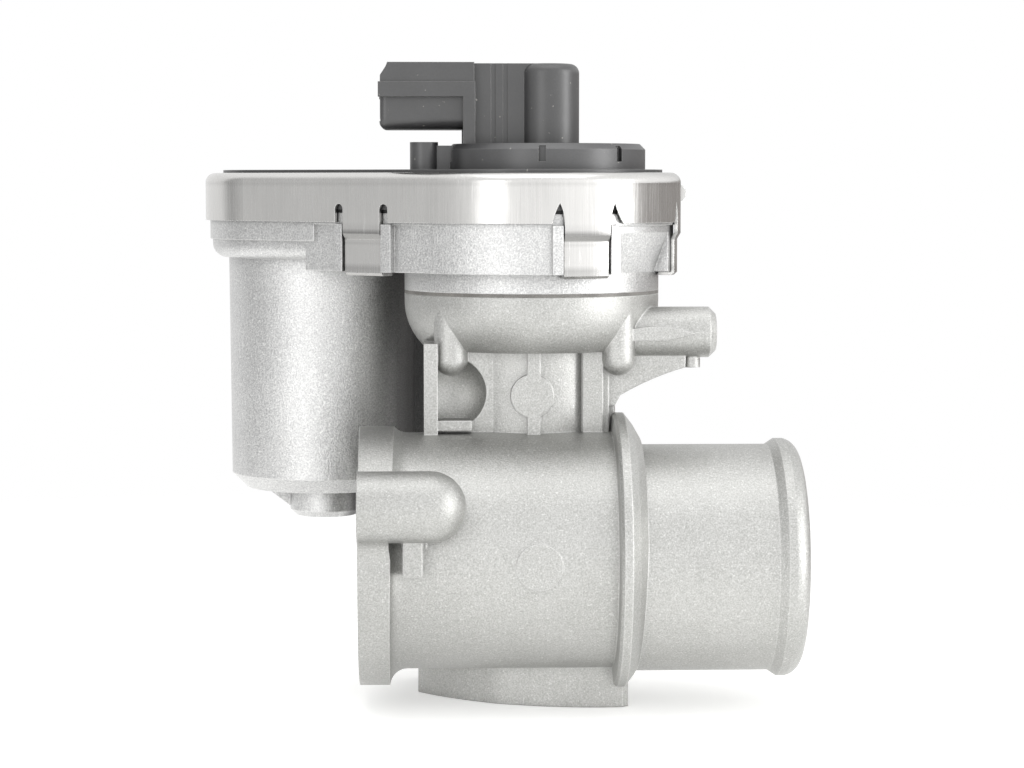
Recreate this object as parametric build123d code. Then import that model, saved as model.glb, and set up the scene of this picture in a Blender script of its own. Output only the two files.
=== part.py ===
from build123d import *
import os
from math import acos, atan, atan2, cos, degrees, hypot, pi, radians, sin, sqrt

os.makedirs("parts", exist_ok=True)

# Exhaust gas recirculation valve, millimetres.
# The origin is the middle of the manifold flange face, on the axis of the intake duct.
# X runs along the duct to the hose spigot, Z is up along the valve stem.

# Fits
slip = 0.05          # radial running clearance of shafts and guides
ease = 0.2           # gap between parts that only lie beside each other
thread_ease = 0.05   # radial gap of a screw in its thread

# Intake duct, cast along X
duct_r = 27.4
duct_bore_r = 23.5
flange_t = 7.0
flange_r = 30.0
flange_drop = 1.2
flange_fillet = 4.0
collar_x = 58.4
collar_w = 4.8
collar_r = 31.9
spigot_r = 26.35
spigot_drop = 1.9
spigot_bore_r = 22.6
spigot_end_x = 101.8
bead_r = 27.7
bead_w = 7.2

# Bolt lugs of the manifold flange: one at (-lug_y, lug_z), the other opposite
lug_r = 7.9
lug_y = 30.0
lug_z = 13.8
lug_neck_r = 5.5
lug_hole_r = 3.4
lug_hole_depth = 19.0
lug_length = 24.2

# Valve axis in plan and the parts stacked on it
valve_x = 40.6
valve_y = 18.0
inlet_face_z = -36.4
inlet_bore_r = 12.0
seat_z = -28.0
seat_t = 4.0
seat_wall = 1.9
seat_throat_r = 11.5
disc_r = 13.6
disc_t = 4.2
lift = 6.5
stem_r = 3.0
chamber_top_z = 22.0
tower_wall = 4.5
stem_bush_r = 6.0
stem_bush_top_z = 44.0
stem_seal_r = 7.0
stem_seal_t = 2.5

# Gas inlet flange under the valve
inlet_left = 27.2
inlet_right = 21.7
inlet_front = 22.9
inlet_back = 20.5
inlet_bolt_half = 20.8
inlet_bolt_turn = -38.0
inlet_bolt_r = 3.4
inlet_bolt_depth = 14.0
inlet_block_h = 23.0

# Bowl of the body casting
bowl_r = 30.2
bowl_round = 5.0
bowl_bottom_z = 46.2
bowl_floor_z = 50.0
bowl_top_z = 59.2
bowl_wall = 8.7
gasket_t = 0.8
housing_screw_edge = 4.0
housing_screw_turn = 42.2
screw_boss_r = 3.9
screw_boss_z = 40.6
housing_screw_r = 1.95
housing_screw_head_r = 3.4
housing_screw_head_t = 3.0
housing_screw_seat_z = 66.2

# Bracket boss beside the bowl
bracket_y = 6.0
bracket_z = 50.35
bracket_r = 5.95
bracket_end_x = 83.2
bracket_hole_r = 2.5
bracket_hole_depth = 14.0

# Guide sleeve and helical cam
sleeve_r = 7.95
sleeve_flange_r = 16.5
sleeve_flange_t = 1.4
sleeve_foot_r = 8.5
sleeve_top_z = 76.2
washer_t = 0.9
hub_wall = 3.0
opening_angle = 90.0
cross_pin_r = 1.5
cross_pin_z = 57.2
roller_r = 2.5
roller_ease = 0.2

# Gear train: motor pinion, two-step intermediate gear, toothed sector on the valve axis
pressure_angle = 20.0
addendum = 0.75
dedendum = 1.05
backlash = 0.14
fast_module = 0.8
motor_pinion_teeth = 14
wheel_teeth = 58
slow_module = 1.0
small_pinion_teeth = 12
sector_teeth = 52
sector_spare_teeth = 2
train_bearing = 145.9
gear_z = 70.0
gear_t = 4.6
wheel_z = 77.0
wheel_t = 3.6
pin_r = 2.0
pin_top_z = 83.4

# Return spring round the hub
spring_wire_r = 0.9
spring_r = 14.0
spring_pitch = 3.1
spring_turns = 4
spring_tang = 4.5
spring_bend_r = 2.0

# Actuator housing
valve_lobe_r = 35.4
motor_lobe_r = 29.5
tray_z = 64.5
tray_floor_t = 3.0
tray_wall = 3.0
tray_top_z = 78.2
panel_step = 0.6
panel_top_z = 75.4
motor_lip_z = 66.8
motor_lip_round = 3.4
skirt_step = 1.0
can_wall = 4.0
can_ease = 0.4
can_draft = 0.4
can_bottom_z = 9.4
can_floor_t = 2.8
can_chamfer = 3.6
can_boss_wall = 2.8
can_boss_z = 2.0
can_pocket_ease = 0.7

# Motor
motor_r = 19.4
motor_wall = 1.2
motor_bottom_z = 13.2
motor_nose_r = 5.5
motor_nose_z = 6.5
motor_shaft_r = 2.0
motor_bearing_r = 4.0
motor_bearing_h = 4.0
air_gap = 0.6
magnet_ease = 0.1
armature_z = 20.0
armature_h = 28.0
magnet_t = 3.2
commutator_r = 5.0
commutator_z = 51.0
commutator_h = 9.0
card_z = 59.0
card_t = 2.0
brush_w = 3.4
brush_h = 5.0
brush_length = 6.9
brush_box_length = 8.8
brush_box_wall = 1.2
motor_plate_edge = 3.4
motor_plate_t = 1.6
motor_screw_edge = 2.4
motor_screw_r = 1.0
motor_screw_length = 7.0
contact_inset = 5.5
contact_t = 0.8
contact_w = 3.2
contact_y = 5.0
wave_washer_inset = 1.9
wave_washer_w = 5.0

# Clamp ring
sheet_t = 0.8
ring_top_z = 87.6
ring_bottom_z = 76.0
ring_lip_w = 4.2
ring_bend_r = 2.4
tab_w = 11.3
tab_slot_w = 2.4
tab_slot_top_z = 80.3
tab_slot_flare = 2.0
motor_tab_angle = 104.0
tab_fold_z = 73.6
tab_hook = 3.0

# Cover
seal_t = 0.8
cover_rim_wall = 3.2
cover_roof_t = 2.2
cover_land_h = 0.7
base_x = 44.0
base_y = 16.0
base_r = 23.4
base_top_z = 94.3
base_chamfer = 1.3
dome_x0 = 37.3
dome_x1 = 51.6
dome_length = 24.0
dome_top_z = 113.0
dome_round = 2.2
block_x0 = 26.8
block_y0 = 9.2
connector_x0 = 4.4
connector_z0 = 97.7
connector_y_half = 11.0
connector_split_z = 105.2
connector_inset = 0.9
connector_wall = 1.9
connector_depth = 18.5
post_x = 15.1
post_y = 12.0
post_r = 3.3
post_top_z = 94.7
sensor_bore_r = 5.4
sensor_rod_r = 1.6
magnet_r = 4.0
magnet_z = 91.0
magnet_h = 8.0
board_t = 1.2
board_half = 5.6
board_gap = 0.4
dome_roof_t = 3.6
terminal_count = 5
terminal_pitch = 3.2
terminal_w = 1.5
terminal_t = 0.8
terminal_reach = 11.0
terminal_root = 6.0

# Places that follow from the sizes above
fast_distance = fast_module * (motor_pinion_teeth + wheel_teeth) / 2
slow_distance = slow_module * (small_pinion_teeth + sector_teeth) / 2
axle_distance = fast_distance + slow_distance
motor_x = valve_x + axle_distance * cos(radians(train_bearing))
motor_y = valve_y + axle_distance * sin(radians(train_bearing))
gear_x = valve_x + slow_distance * cos(radians(train_bearing))
gear_y = valve_y + slow_distance * sin(radians(train_bearing))
skirt_z = bowl_top_z + gasket_t
tray_floor_z = tray_z + tray_floor_t
cover_z = tray_top_z + seal_t
cover_rim_z = ring_top_z - sheet_t
cover_top_z = cover_rim_z + sheet_t + cover_land_h
cover_under_z = cover_rim_z - cover_roof_t
hub_bore_r = sleeve_r + slip
hub_r = hub_bore_r + hub_wall
washer_z = bowl_floor_z + sleeve_flange_t
hub_z = washer_z + washer_t + slip
hub_top_z = gear_z + gear_t
clip_z = hub_top_z + 0.1
wall_lean = degrees(acos((valve_lobe_r - motor_lobe_r) / axle_distance))
seat_top_z = seat_z + seat_t
seat_cone_h = disc_r - seat_throat_r
seat_r = disc_r + seat_wall
chamber_r = seat_r
tower_r = chamber_r + tower_wall
bowl_foot_r = bowl_r - bowl_round
bowl_inner_r = bowl_r - bowl_wall
skirt_inner_r = bowl_inner_r - skirt_step
housing_screw_circle_r = bowl_r - housing_screw_edge
armature_r = motor_r - motor_wall - magnet_ease - magnet_t - air_gap
motor_screw_at = motor_r + motor_screw_edge
motor_plate_r = motor_screw_at + motor_plate_edge
contact_x = contact_inset - motor_r
can_bore_r = motor_r + can_ease
can_r = can_bore_r + can_wall
can_foot_r = can_r - can_draft
can_pocket_r = motor_nose_r + can_pocket_ease
can_boss_r = can_pocket_r + can_boss_wall
sensor_top_z = dome_top_z - dome_roof_t
board_x = valve_x + sensor_bore_r + board_gap


def rod(radius, z0, z1, x=0.0, y=0.0):
    """Upright cylinder between two heights."""
    return Pos(x, y, (z0 + z1) / 2) * Cylinder(radius, z1 - z0)


def rod_x(radius, x0, x1, y=0.0, z=0.0):
    """Cylinder along X."""
    return Pos((x0 + x1) / 2, y, z) * Rot(0, 90, 0) * Cylinder(radius, x1 - x0)


def block(x0, x1, y0, y1, z0, z1):
    """Box between two corners."""
    return Pos((x0 + x1) / 2, (y0 + y1) / 2, (z0 + z1) / 2) * Box(x1 - x0, y1 - y0, z1 - z0)


def turned(*outline, x=0.0, y=0.0, arc=360.0, start=0.0):
    """Closed (radius, z) outline turned about an upright axis."""
    face = Plane.XZ * make_face(Polyline(*outline, close=True))
    return Pos(x, y, 0) * Rot(0, 0, start) * revolve(face, Axis.Z, arc)


def polar(radius, angle):
    """Point at a radius and an angle in radians."""
    return (radius * cos(angle), radius * sin(angle))


def on_valve_axis(shape):
    """Moves a shape built about the Z axis to the valve axis."""
    return Pos(valve_x, valve_y, 0) * shape


def on_motor_axis(shape):
    """Moves a shape built about the Z axis to the motor axis."""
    return Pos(motor_x, motor_y, 0) * shape


def lobed(grow=0.0):
    """Two-lobed plan of the tray: the taut band round both lobes, grown by an amount."""
    bearing = radians(train_bearing)
    lean = radians(wall_lean)
    valve_r = valve_lobe_r + grow
    motor_r_out = motor_lobe_r + grow

    def at(cx, cy, radius, angle):
        return (cx + radius * cos(angle), cy + radius * sin(angle))

    v1 = at(valve_x, valve_y, valve_r, bearing + lean)
    v2 = at(valve_x, valve_y, valve_r, bearing - lean)
    m1 = at(motor_x, motor_y, motor_r_out, bearing + lean)
    m2 = at(motor_x, motor_y, motor_r_out, bearing - lean)
    edges = [
        Line(v1, m1),
        ThreePointArc(m1, at(motor_x, motor_y, motor_r_out, bearing), m2),
        Line(m2, v2),
        ThreePointArc(v2, at(valve_x, valve_y, valve_r, bearing + pi), v1),
    ]
    return make_face(edges)


def lobed_slab(grow, z0, z1):
    """The two-lobed plan between two heights."""
    return Pos(0, 0, z0) * extrude(lobed(grow), z1 - z0)


def wall_plane(side, along):
    """Upright section plane on a straight wall of the tray, x outward from the ring's outer face.
    side is 1 for the front wall and -1 for the back, along is the way from the motor lobe."""
    angle = radians(train_bearing + side * wall_lean)
    normal = Vector(cos(angle), sin(angle), 0)
    start = Vector(motor_x, motor_y, 0) + normal * motor_lobe_r
    end = Vector(valve_x, valve_y, 0) + normal * valve_lobe_r
    origin = start + (end - start).normalized() * along
    return Plane(origin=origin, x_dir=normal, z_dir=Vector(normal.Y, -normal.X, 0))


def on_wall(outline, side, along, width):
    """A (offset, z) outline carried along a straight wall, centred on a place."""
    face = wall_plane(side, along) * make_face(Polyline(*outline, close=True))
    return extrude(face, width / 2, both=True)


def on_lobe(outline, angle, width, motor=False):
    """A (offset, z) outline carried round a lobe, centred on an angle; width is at the ring."""
    radius = motor_lobe_r if motor else valve_lobe_r
    arc = degrees(width / radius)
    place = (motor_x, motor_y) if motor else (valve_x, valve_y)
    points = [(radius + offset, z) for offset, z in outline]
    return turned(*points, x=place[0], y=place[1], arc=arc, start=angle - arc / 2)


def box_outline(n0, n1, z0, z1):
    """Rectangle in (offset, z)."""
    return ((n0, z0), (n1, z0), (n1, z1), (n0, z1))


# Gear teeth

def involute(base_r, radius):
    """Polar angle that the involute of base_r has gained at a radius."""
    if radius <= base_r:
        return 0.0
    tangent = sqrt((radius / base_r) ** 2 - 1)
    return tangent - atan(tangent)


def tooth_edges(teeth, module, number):
    """Root, flank, tip and flank edges of one external tooth, and its two root points."""
    pitch_r = module * teeth / 2
    base_r = pitch_r * cos(radians(pressure_angle))
    tip_r = pitch_r + addendum * module
    root_r = pitch_r - dedendum * module
    start_r = max(base_r, root_r)
    half = pi / (2 * teeth) - backlash / (4 * pitch_r) + involute(base_r, pitch_r)
    centre = 2 * pi * number / teeth
    radii = (start_r, (start_r + tip_r) / 2, tip_r)
    rising = [polar(r, centre - half + involute(base_r, r)) for r in radii]
    falling = [polar(r, centre + half - involute(base_r, r)) for r in reversed(radii)]
    first = polar(root_r, centre - half + involute(base_r, start_r))
    last = polar(root_r, centre + half - involute(base_r, start_r))
    edges = [
        ThreePointArc(*rising),
        ThreePointArc(rising[-1], polar(tip_r, centre), falling[0]),
        ThreePointArc(*falling),
    ]
    if root_r < base_r:
        edges = [Line(first, rising[0])] + edges + [Line(falling[-1], last)]
    return edges, first, last


def toothed(teeth, module, numbers):
    """Face of a spur gear with the teeth in numbers; a part gear is closed through its centre."""
    root_r = module * (teeth / 2 - dedendum)
    edges = []
    ends = []
    for number in numbers:
        more, first, last = tooth_edges(teeth, module, number)
        edges += more
        ends.append((first, last))
    for (number, (_, last)), (first, _) in zip(zip(numbers, ends), ends[1:]):
        middle = polar(root_r, 2 * pi * (number + 0.5) / teeth)
        edges.append(ThreePointArc(last, middle, first))
    if len(numbers) == teeth:
        middle = polar(root_r, 2 * pi * (numbers[-1] + 0.5) / teeth)
        edges.append(ThreePointArc(ends[-1][1], middle, ends[0][0]))
    else:
        edges += [Line(ends[-1][1], (0, 0)), Line((0, 0), ends[0][0])]
    return make_face(edges)


def spur(teeth, module, z, thickness, numbers=None):
    """Toothed disc from a height upwards, about the Z axis."""
    face = toothed(teeth, module, list(range(teeth)) if numbers is None else numbers)
    return Pos(0, 0, z) * extrude(face, thickness)


def ring_sector(r0, r1, z0, z1, start, arc):
    """Part of a ring between two radii and two heights."""
    return turned((r0, z0), (r1, z0), (r1, z1), (r0, z1), arc=arc, start=start)


# Body casting

def flange_outline():
    """Round flange plate with two lugs, seen along the duct."""
    outline = Pos(0, -flange_drop) * Circle(flange_r)
    for side in (-1, 1):
        outline += Pos(side * lug_y, -side * lug_z) * Circle(lug_r)
    corners = outline.vertices().sort_by(Axis.X)
    return fillet([corners.sort_by(Axis.Y)[1], corners.sort_by(Axis.Y)[2]], lug_neck_r)


def manifold_flange():
    """Flange plate with a blind boss behind each lug, and its fillet to the duct."""
    rim_r = duct_r + flange_fillet
    end_x = flange_t + flange_fillet
    wide = lug_y + 2 * lug_r + flange_r
    bend = (end_x - flange_fillet * sin(radians(45)), rim_r - flange_fillet * cos(radians(45)))
    profile = [
        ThreePointArc((flange_t, rim_r), bend, (end_x, duct_r)),
        Polyline((end_x, duct_r), (end_x, 0), (0, 0), (0, wide), (flange_t, wide), (flange_t, rim_r)),
    ]
    plate = extrude(Plane.YZ * flange_outline(), end_x + 1)
    plate = plate & revolve(Plane.XZ * make_face(profile), Axis.X)
    boss_r = lug_r + 0.05
    round_x = lug_length - boss_r
    middle = (round_x + boss_r * sin(radians(45)), boss_r * cos(radians(45)))
    boss_profile = [
        Polyline((0, 0), (0, boss_r), (round_x, boss_r)),
        ThreePointArc((round_x, boss_r), middle, (lug_length, 0)),
        Line((lug_length, 0), (0, 0)),
    ]
    boss = revolve(Plane.XZ * make_face(boss_profile), Axis.X)
    for side in (-1, 1):
        plate += Pos(0, side * lug_y, -side * lug_z) * boss
    return plate


def duct_outside():
    """Duct and its collar about the X axis, and the hose spigot with its bead a little lower."""
    slope_x = collar_x + collar_w + 1.8
    body = revolve(Plane.XZ * make_face(Polyline(
        (1, 0), (1, duct_r), (collar_x, duct_r), (collar_x + 0.3, collar_r - 0.8), (collar_x + 1.0, collar_r),
        (collar_x + 2.8, collar_r), (collar_x + collar_w, collar_r - 2.6), (slope_x, spigot_r - 0.2),
        (slope_x, 0), close=True
    )), Axis.X)
    bead_x = spigot_end_x - bead_w
    crest_x = spigot_end_x - 0.55 * bead_w
    spigot = [
        Polyline(
            (collar_x + 1, 0), (collar_x + 1, spigot_r), (bead_x, spigot_r), (crest_x - 1.2, bead_r),
            (crest_x + 0.6, bead_r)
        ),
        ThreePointArc(
            (crest_x + 0.6, bead_r), (spigot_end_x - 0.9, bead_r - 1.5), (spigot_end_x, bead_r - 4.4)
        ),
        Polyline((spigot_end_x, bead_r - 4.4), (spigot_end_x, 0), (collar_x + 1, 0)),
    ]
    return body + Pos(0, 0, -spigot_drop) * revolve(Plane.XZ * make_face(spigot), Axis.X)


def duct_details():
    """Stiffening fin under the front lug boss and the round ejector mark on the duct."""
    fin_y, fin_z = -lug_y, lug_z
    fin = block(10.2, 14.4, fin_y - 1.5, fin_y + 8, fin_z - lug_r - 7.6, fin_z)
    fin += block(9.4, 15.4, fin_y + 2.9, fin_y + 9, fin_z - lug_r - 8.2, fin_z)
    mark_x, mark_z, mark_r = 40.6, -0.2, 5.3
    mark = Pos(mark_x, -duct_r + 0.7, mark_z) * Rot(90, 0, 0) * Cylinder(mark_r, 1.8)
    return fin + mark


def inlet_outline():
    """Plan of the gas inlet flange about the valve axis: a slanted, arched front and cut corners."""
    left, right, front, back = inlet_left, inlet_right, inlet_front, inlet_back
    edges = [
        ThreePointArc((2 - left, -5.5), (-1.2, -front * 0.9), (right - 1.4, -front)),
        Polyline(
            (right - 1.4, -front), (right, 1.4 - front), (right, 0.3 * back), (0.45 * right, back),
            (0.45 * right - 12, back), (-left, 0.75 * back), (-left, -3.0), (2 - left, -5.5)
        ),
    ]
    return make_face(edges)


def tower_outside():
    """Upright chamber casting between inlet flange and bowl, with its ribs and casting marks."""
    tower = on_valve_axis(rod(tower_r, inlet_face_z, bowl_bottom_z + 1))
    tower += Pos(valve_x, valve_y, inlet_face_z) * extrude(inlet_outline(), inlet_block_h)
    front = valve_y - tower_r
    top = bowl_bottom_z + 2
    # Left edge plate, its hollow and the small lug in the hollow
    plate_x = valve_x - tower_r - 5.7
    plate = block(plate_x, plate_x + 3.2, front - 1.5, valve_y + 10, 0, top)
    web = block(plate_x + 2, plate_x + 16, front + 2.5, valve_y, 18, top)
    web -= Pos(plate_x + 6.2, front - 2.2, 36.6) * Sphere(9.6)
    lug = block(plate_x + 3, plate_x + 11, front - 0.5, front + 6, 28.0, 30.4)
    # Round ejector pad on a narrow upright rib
    pad = Pos(valve_x - 0.65, front + 3.2, 36.1) * Rot(90, 0, 0) * Cylinder(5.0, 9.0)
    rib = block(valve_x - 1.8, valve_x + 1.2, front - 1.3, front + 6, 20, top)
    # Flat strip and stepped ridges at the right
    strip = block(valve_x + 11.2, valve_x + 15.9, front + 1.6, valve_y, 20, top)
    ridge = block(valve_x + 15.5, valve_x + 17.4, front + 4.0, valve_y, 20, top)
    edge = block(valve_x + 17, valve_x + 18.9, front + 7.5, valve_y + 6, 20, top)
    return tower + plate + web + lug + pad + rib + strip + ridge + edge


def screw_places():
    """Plan places of the four housing screws about the valve axis."""
    turns = (housing_screw_turn, 180 - housing_screw_turn, 180 + housing_screw_turn, -housing_screw_turn)
    return [polar(housing_screw_circle_r, radians(turn)) for turn in turns]


def bowl_outside():
    """Round-bottomed bowl with four domed screw bosses under it."""
    profile = [
        Line((0, bowl_bottom_z), (bowl_foot_r, bowl_bottom_z)),
        ThreePointArc(
            (bowl_foot_r, bowl_bottom_z), (bowl_r - 1.7, bowl_bottom_z + 4.2), (bowl_r, bowl_top_z - 2)
        ),
        Polyline((bowl_r, bowl_top_z - 2), (bowl_r, bowl_top_z), (0, bowl_top_z), (0, bowl_bottom_z)),
    ]
    bowl = revolve(Plane.XZ * make_face(profile), Axis.Z)
    for x, y in screw_places():
        bowl += rod(screw_boss_r, screw_boss_z + screw_boss_r, bowl_top_z, x, y)
        bowl += Pos(x, y, screw_boss_z + screw_boss_r) * Sphere(screw_boss_r)
    return on_valve_axis(bowl)


def bracket_boss():
    """Tapped boss for a bracket, with a rib along its front and a gusset under it."""
    round_end = 1.6
    boss = rod_x(bracket_r, valve_x, bracket_end_x - round_end, bracket_y, bracket_z)
    end_x = bracket_end_x
    boss += Pos(end_x - round_end, bracket_y, bracket_z) * Rot(0, 90, 0) * Cone(
        bracket_r, bracket_r - round_end, round_end, align=(Align.CENTER, Align.CENTER, Align.MIN)
    )
    front = bracket_y - bracket_r - 1.8
    rib_outline = [
        ThreePointArc(
            (valve_x + 16, bracket_z - 1.6), (valve_x + 27, bracket_z + 1.7), (end_x - 5.5, bracket_z)
        ),
        Polyline((end_x - 5.5, bracket_z), (end_x - 12, bracket_z - 1.6), (valve_x + 16, bracket_z - 1.6)),
    ]
    rib = Pos(0, bracket_y, 0) * extrude(Plane.XZ * make_face(rib_outline), bracket_y - front)
    stub = rod(1.9, bracket_z - bracket_r - 2.3, bracket_z, end_x - 5.4, bracket_y)
    gusset_outline = [
        Polyline(
            (valve_x + 14, bracket_z), (end_x - 7, bracket_z), (end_x - 7.2, bracket_z - bracket_r - 2.2)
        ),
        ThreePointArc(
            (end_x - 7.2, bracket_z - bracket_r - 2.2), (valve_x + 26.8, 39.1), (valve_x + 20.2, 35.7)
        ),
        Polyline(
            (valve_x + 20.2, 35.7), (valve_x + 18.9, 33.2), (valve_x + 14, 33.2), (valve_x + 14, bracket_z)
        ),
    ]
    gusset = Pos(0, bracket_y + 2.5, 0) * extrude(Plane.XZ * make_face(gusset_outline), 5.0)
    return boss + rib + stub + gusset


def gas_ways():
    """Duct bore, spigot bore, valve chamber, gas inlet and the stepped stem bore."""
    ways = rod_x(duct_bore_r, -1, collar_x + 2)
    ways += rod_x(spigot_bore_r, collar_x + 1, spigot_end_x + 1, 0, -spigot_drop)
    chamber = rod(chamber_r, seat_z, chamber_top_z)
    chamber += rod(inlet_bore_r, inlet_face_z - 1, seat_z + 1)
    chamber += rod(stem_bush_r, chamber_top_z - 1, stem_bush_top_z)
    chamber += rod(stem_seal_r, stem_bush_top_z, stem_bush_top_z + stem_seal_t)
    chamber += rod(sleeve_foot_r, stem_bush_top_z + stem_seal_t, bowl_floor_z)
    chamber += rod(bowl_inner_r, bowl_floor_z, bowl_top_z + 1)
    return ways + on_valve_axis(chamber + spring_hole(washer_z - spring_tang, washer_z, -1))


def body_holes():
    """Tapped holes of the flange lugs, the inlet flange, the housing screws and the bracket boss."""
    holes = rod_x(bracket_hole_r, bracket_end_x - bracket_hole_depth, bracket_end_x + 1, bracket_y, bracket_z)
    for side in (-1, 1):
        holes += rod_x(lug_hole_r, -1, lug_hole_depth, side * lug_y, -side * lug_z)
    for x, y in screw_places():
        holes += on_valve_axis(rod(housing_screw_r + thread_ease, screw_boss_z + 3, bowl_top_z + 1, x, y))
    turn = radians(inlet_bolt_turn)
    for side in (-1, 1):
        x, y = polar(side * inlet_bolt_half, turn)
        holes += on_valve_axis(rod(inlet_bolt_r, inlet_face_z - 1, inlet_face_z + inlet_bolt_depth, x, y))
    return holes


def valve_body():
    """The whole body casting."""
    outside = manifold_flange() + duct_outside() + duct_details() + tower_outside()
    outside += bowl_outside() + bracket_boss()
    return outside - gas_ways() - body_holes()


# Valve

def seat_ring():
    """Pressed-in ring with a conical seat."""
    top = seat_top_z
    return on_valve_axis(turned(
        (seat_throat_r, seat_z), (seat_r, seat_z), (seat_r, top), (disc_r, top),
        (seat_throat_r, top - seat_cone_h)
    ))


def valve_disc():
    """Poppet disc with a conical rim that closes on the seat and a collar for the stem."""
    gap = ease
    top = seat_top_z + 1.4
    return on_valve_axis(turned(
        (stem_r, top - disc_t), (seat_throat_r - 1.5, top - disc_t + 0.6),
        (seat_throat_r - gap, seat_top_z - seat_cone_h),
        (disc_r - gap, seat_top_z), (disc_r - gap, top), (stem_r + 3.5, top), (stem_r + 1.6, top + 2.2),
        (stem_r, top + 2.2)
    ))


def valve_stem():
    """Stem through bush and guide sleeve, thinner above as the rod that carries the magnet."""
    neck_z = 68.4
    stem = rod(stem_r, seat_top_z - 3.6, neck_z) + rod(sensor_rod_r, neck_z, magnet_z + magnet_h - 1)
    return on_valve_axis(stem - Pos(0, 0, cross_pin_z) * Rot(0, 90, 0) * Cylinder(cross_pin_r, 4 * stem_r))


def stem_bush():
    return on_valve_axis(rod(stem_bush_r, chamber_top_z, stem_bush_top_z) - rod(stem_r + slip, 0, 60))


def stem_seal():
    """Lip seal over the bush: a cup with a V groove."""
    z0, z1 = stem_bush_top_z, stem_bush_top_z + stem_seal_t
    inner = stem_r + slip
    return on_valve_axis(turned(
        (inner, z0), (stem_seal_r, z0), (stem_seal_r, z1), (inner + 2.4, z1), (inner + 1.5, z0 + 1.0),
        (inner + 0.7, z1), (inner, z1)
    ))


# Cam and gears on the valve axis

def spring_lead():
    """Lead angle of the spring's helix in radians."""
    return atan(spring_pitch / (2 * pi * spring_r))


def spring_tang_y():
    """Sideways place of the spring's upright ends, a bend radius from where the coil begins."""
    return spring_bend_r * (1 - sin(spring_lead()))


def spring_hole(z0, z1, side):
    """Cutter for the hole that holds one end of the spring; side is -1 for the lower end."""
    return rod(spring_wire_r + ease, z0, z1, spring_r, side * spring_tang_y())


def guide_sleeve():
    """Fixed post: guides the stem, carries the gear hub and holds the cross pin upright in two slots."""
    foot_z = stem_bush_top_z + stem_seal_t
    sleeve = rod(sleeve_foot_r, foot_z, bowl_floor_z) + rod(sleeve_flange_r, bowl_floor_z, washer_z)
    sleeve += rod(sleeve_r, washer_z, sleeve_top_z)
    sleeve -= rod(stem_r + slip, foot_z - 1, sleeve_top_z + 1)
    half = cross_pin_r + ease
    slot = block(-2 * sleeve_r, 2 * sleeve_r, -half, half, cross_pin_z, cross_pin_z + lift)
    for z in (cross_pin_z, cross_pin_z + lift):
        slot += Pos(0, 0, z) * Rot(0, 90, 0) * Cylinder(half, 4 * sleeve_r)
    groove = rod(sleeve_r + 1, clip_z - slip, clip_z + 0.8 + slip)
    groove -= rod(sleeve_r - 0.6 - slip, clip_z - 1, clip_z + 2)
    return on_valve_axis(sleeve - slot - groove - spring_hole(bowl_floor_z - 1, washer_z + 1, -1))


def thrust_washer():
    washer = rod(hub_r + 0.6, washer_z, washer_z + washer_t)
    return on_valve_axis(washer - rod(hub_bore_r, washer_z - 1, hub_z + 1))


def cam_slot(start):
    """Cutter of one helical cam slot: a helix band with round ends, from an angle backwards."""
    width = 2 * (roller_r + roller_ease)
    middle_r = hub_bore_r + hub_wall / 2
    path = Helix(lift * 360 / opening_angle, lift, middle_r, lefthand=True)
    section = Plane(origin=path @ 0, x_dir=(1, 0, 0), z_dir=path % 0) * Rectangle(hub_wall + 2.4, width)
    cutter = sweep(section, path=path, is_frenet=True)
    end = Pos(middle_r, 0, 0) * Rot(0, 90, 0) * Cylinder(width / 2, hub_wall + 2.4)
    cutter += end
    cutter += Pos(0, 0, lift) * Rot(0, 0, -opening_angle) * end
    return Pos(0, 0, cross_pin_z) * Rot(0, 0, start) * cutter


def sector_numbers():
    """Teeth on the sector: the arc that passes the pinion and some to spare at both ends."""
    run = round(sector_teeth * opening_angle / 360)
    return list(range(-run - sector_spare_teeth, sector_spare_teeth + 1))


def output_gear():
    """Toothed sector with a long hub; two helical slots in the hub lift the cross pin as it turns."""
    pitch_r = slow_module * sector_teeth / 2
    root_r = pitch_r - dedendum * slow_module
    web = spur(sector_teeth, slow_module, gear_z, gear_t, sector_numbers())
    window = ring_sector(hub_r + 5.5, root_r - 3.2, gear_z - 1, gear_z + gear_t + 1, -78, 56)
    web = (web - window) + rod(hub_r + 4.6, gear_z, gear_z + gear_t)
    gear = Rot(0, 0, train_bearing) * web + rod(hub_r, hub_z, hub_top_z)
    gear -= rod(hub_bore_r, hub_z - 1, hub_top_z + 1)
    return on_valve_axis(gear - cam_slot(0) - cam_slot(180) - spring_hole(gear_z - 1, gear_z + 3, 1))


def sleeve_clip():
    """Open clip in the groove over the gear."""
    ring = rod(sleeve_r + 1.9, clip_z, clip_z + 0.8) - rod(sleeve_r - 0.6, clip_z - 1, clip_z + 2)
    return on_valve_axis(ring - block(0, 2 * sleeve_r, -2.2, 2.2, clip_z - 1, clip_z + 2))


def cross_pin():
    half = hub_r - 0.2
    return on_valve_axis(Pos(0, 0, cross_pin_z) * Rot(0, 90, 0) * Cylinder(cross_pin_r, 2 * half))


def cam_rollers():
    """Two rollers on the ends of the cross pin, in the helical slots."""
    x0, x1 = hub_bore_r + 0.25, hub_r - 0.25
    roller = rod_x(roller_r, x0, x1, 0, cross_pin_z)
    roller -= rod_x(cross_pin_r + slip, x0 - 1, x1 + 1, 0, cross_pin_z)
    return on_valve_axis(roller), on_valve_axis(Rot(0, 0, 180) * roller)


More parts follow.
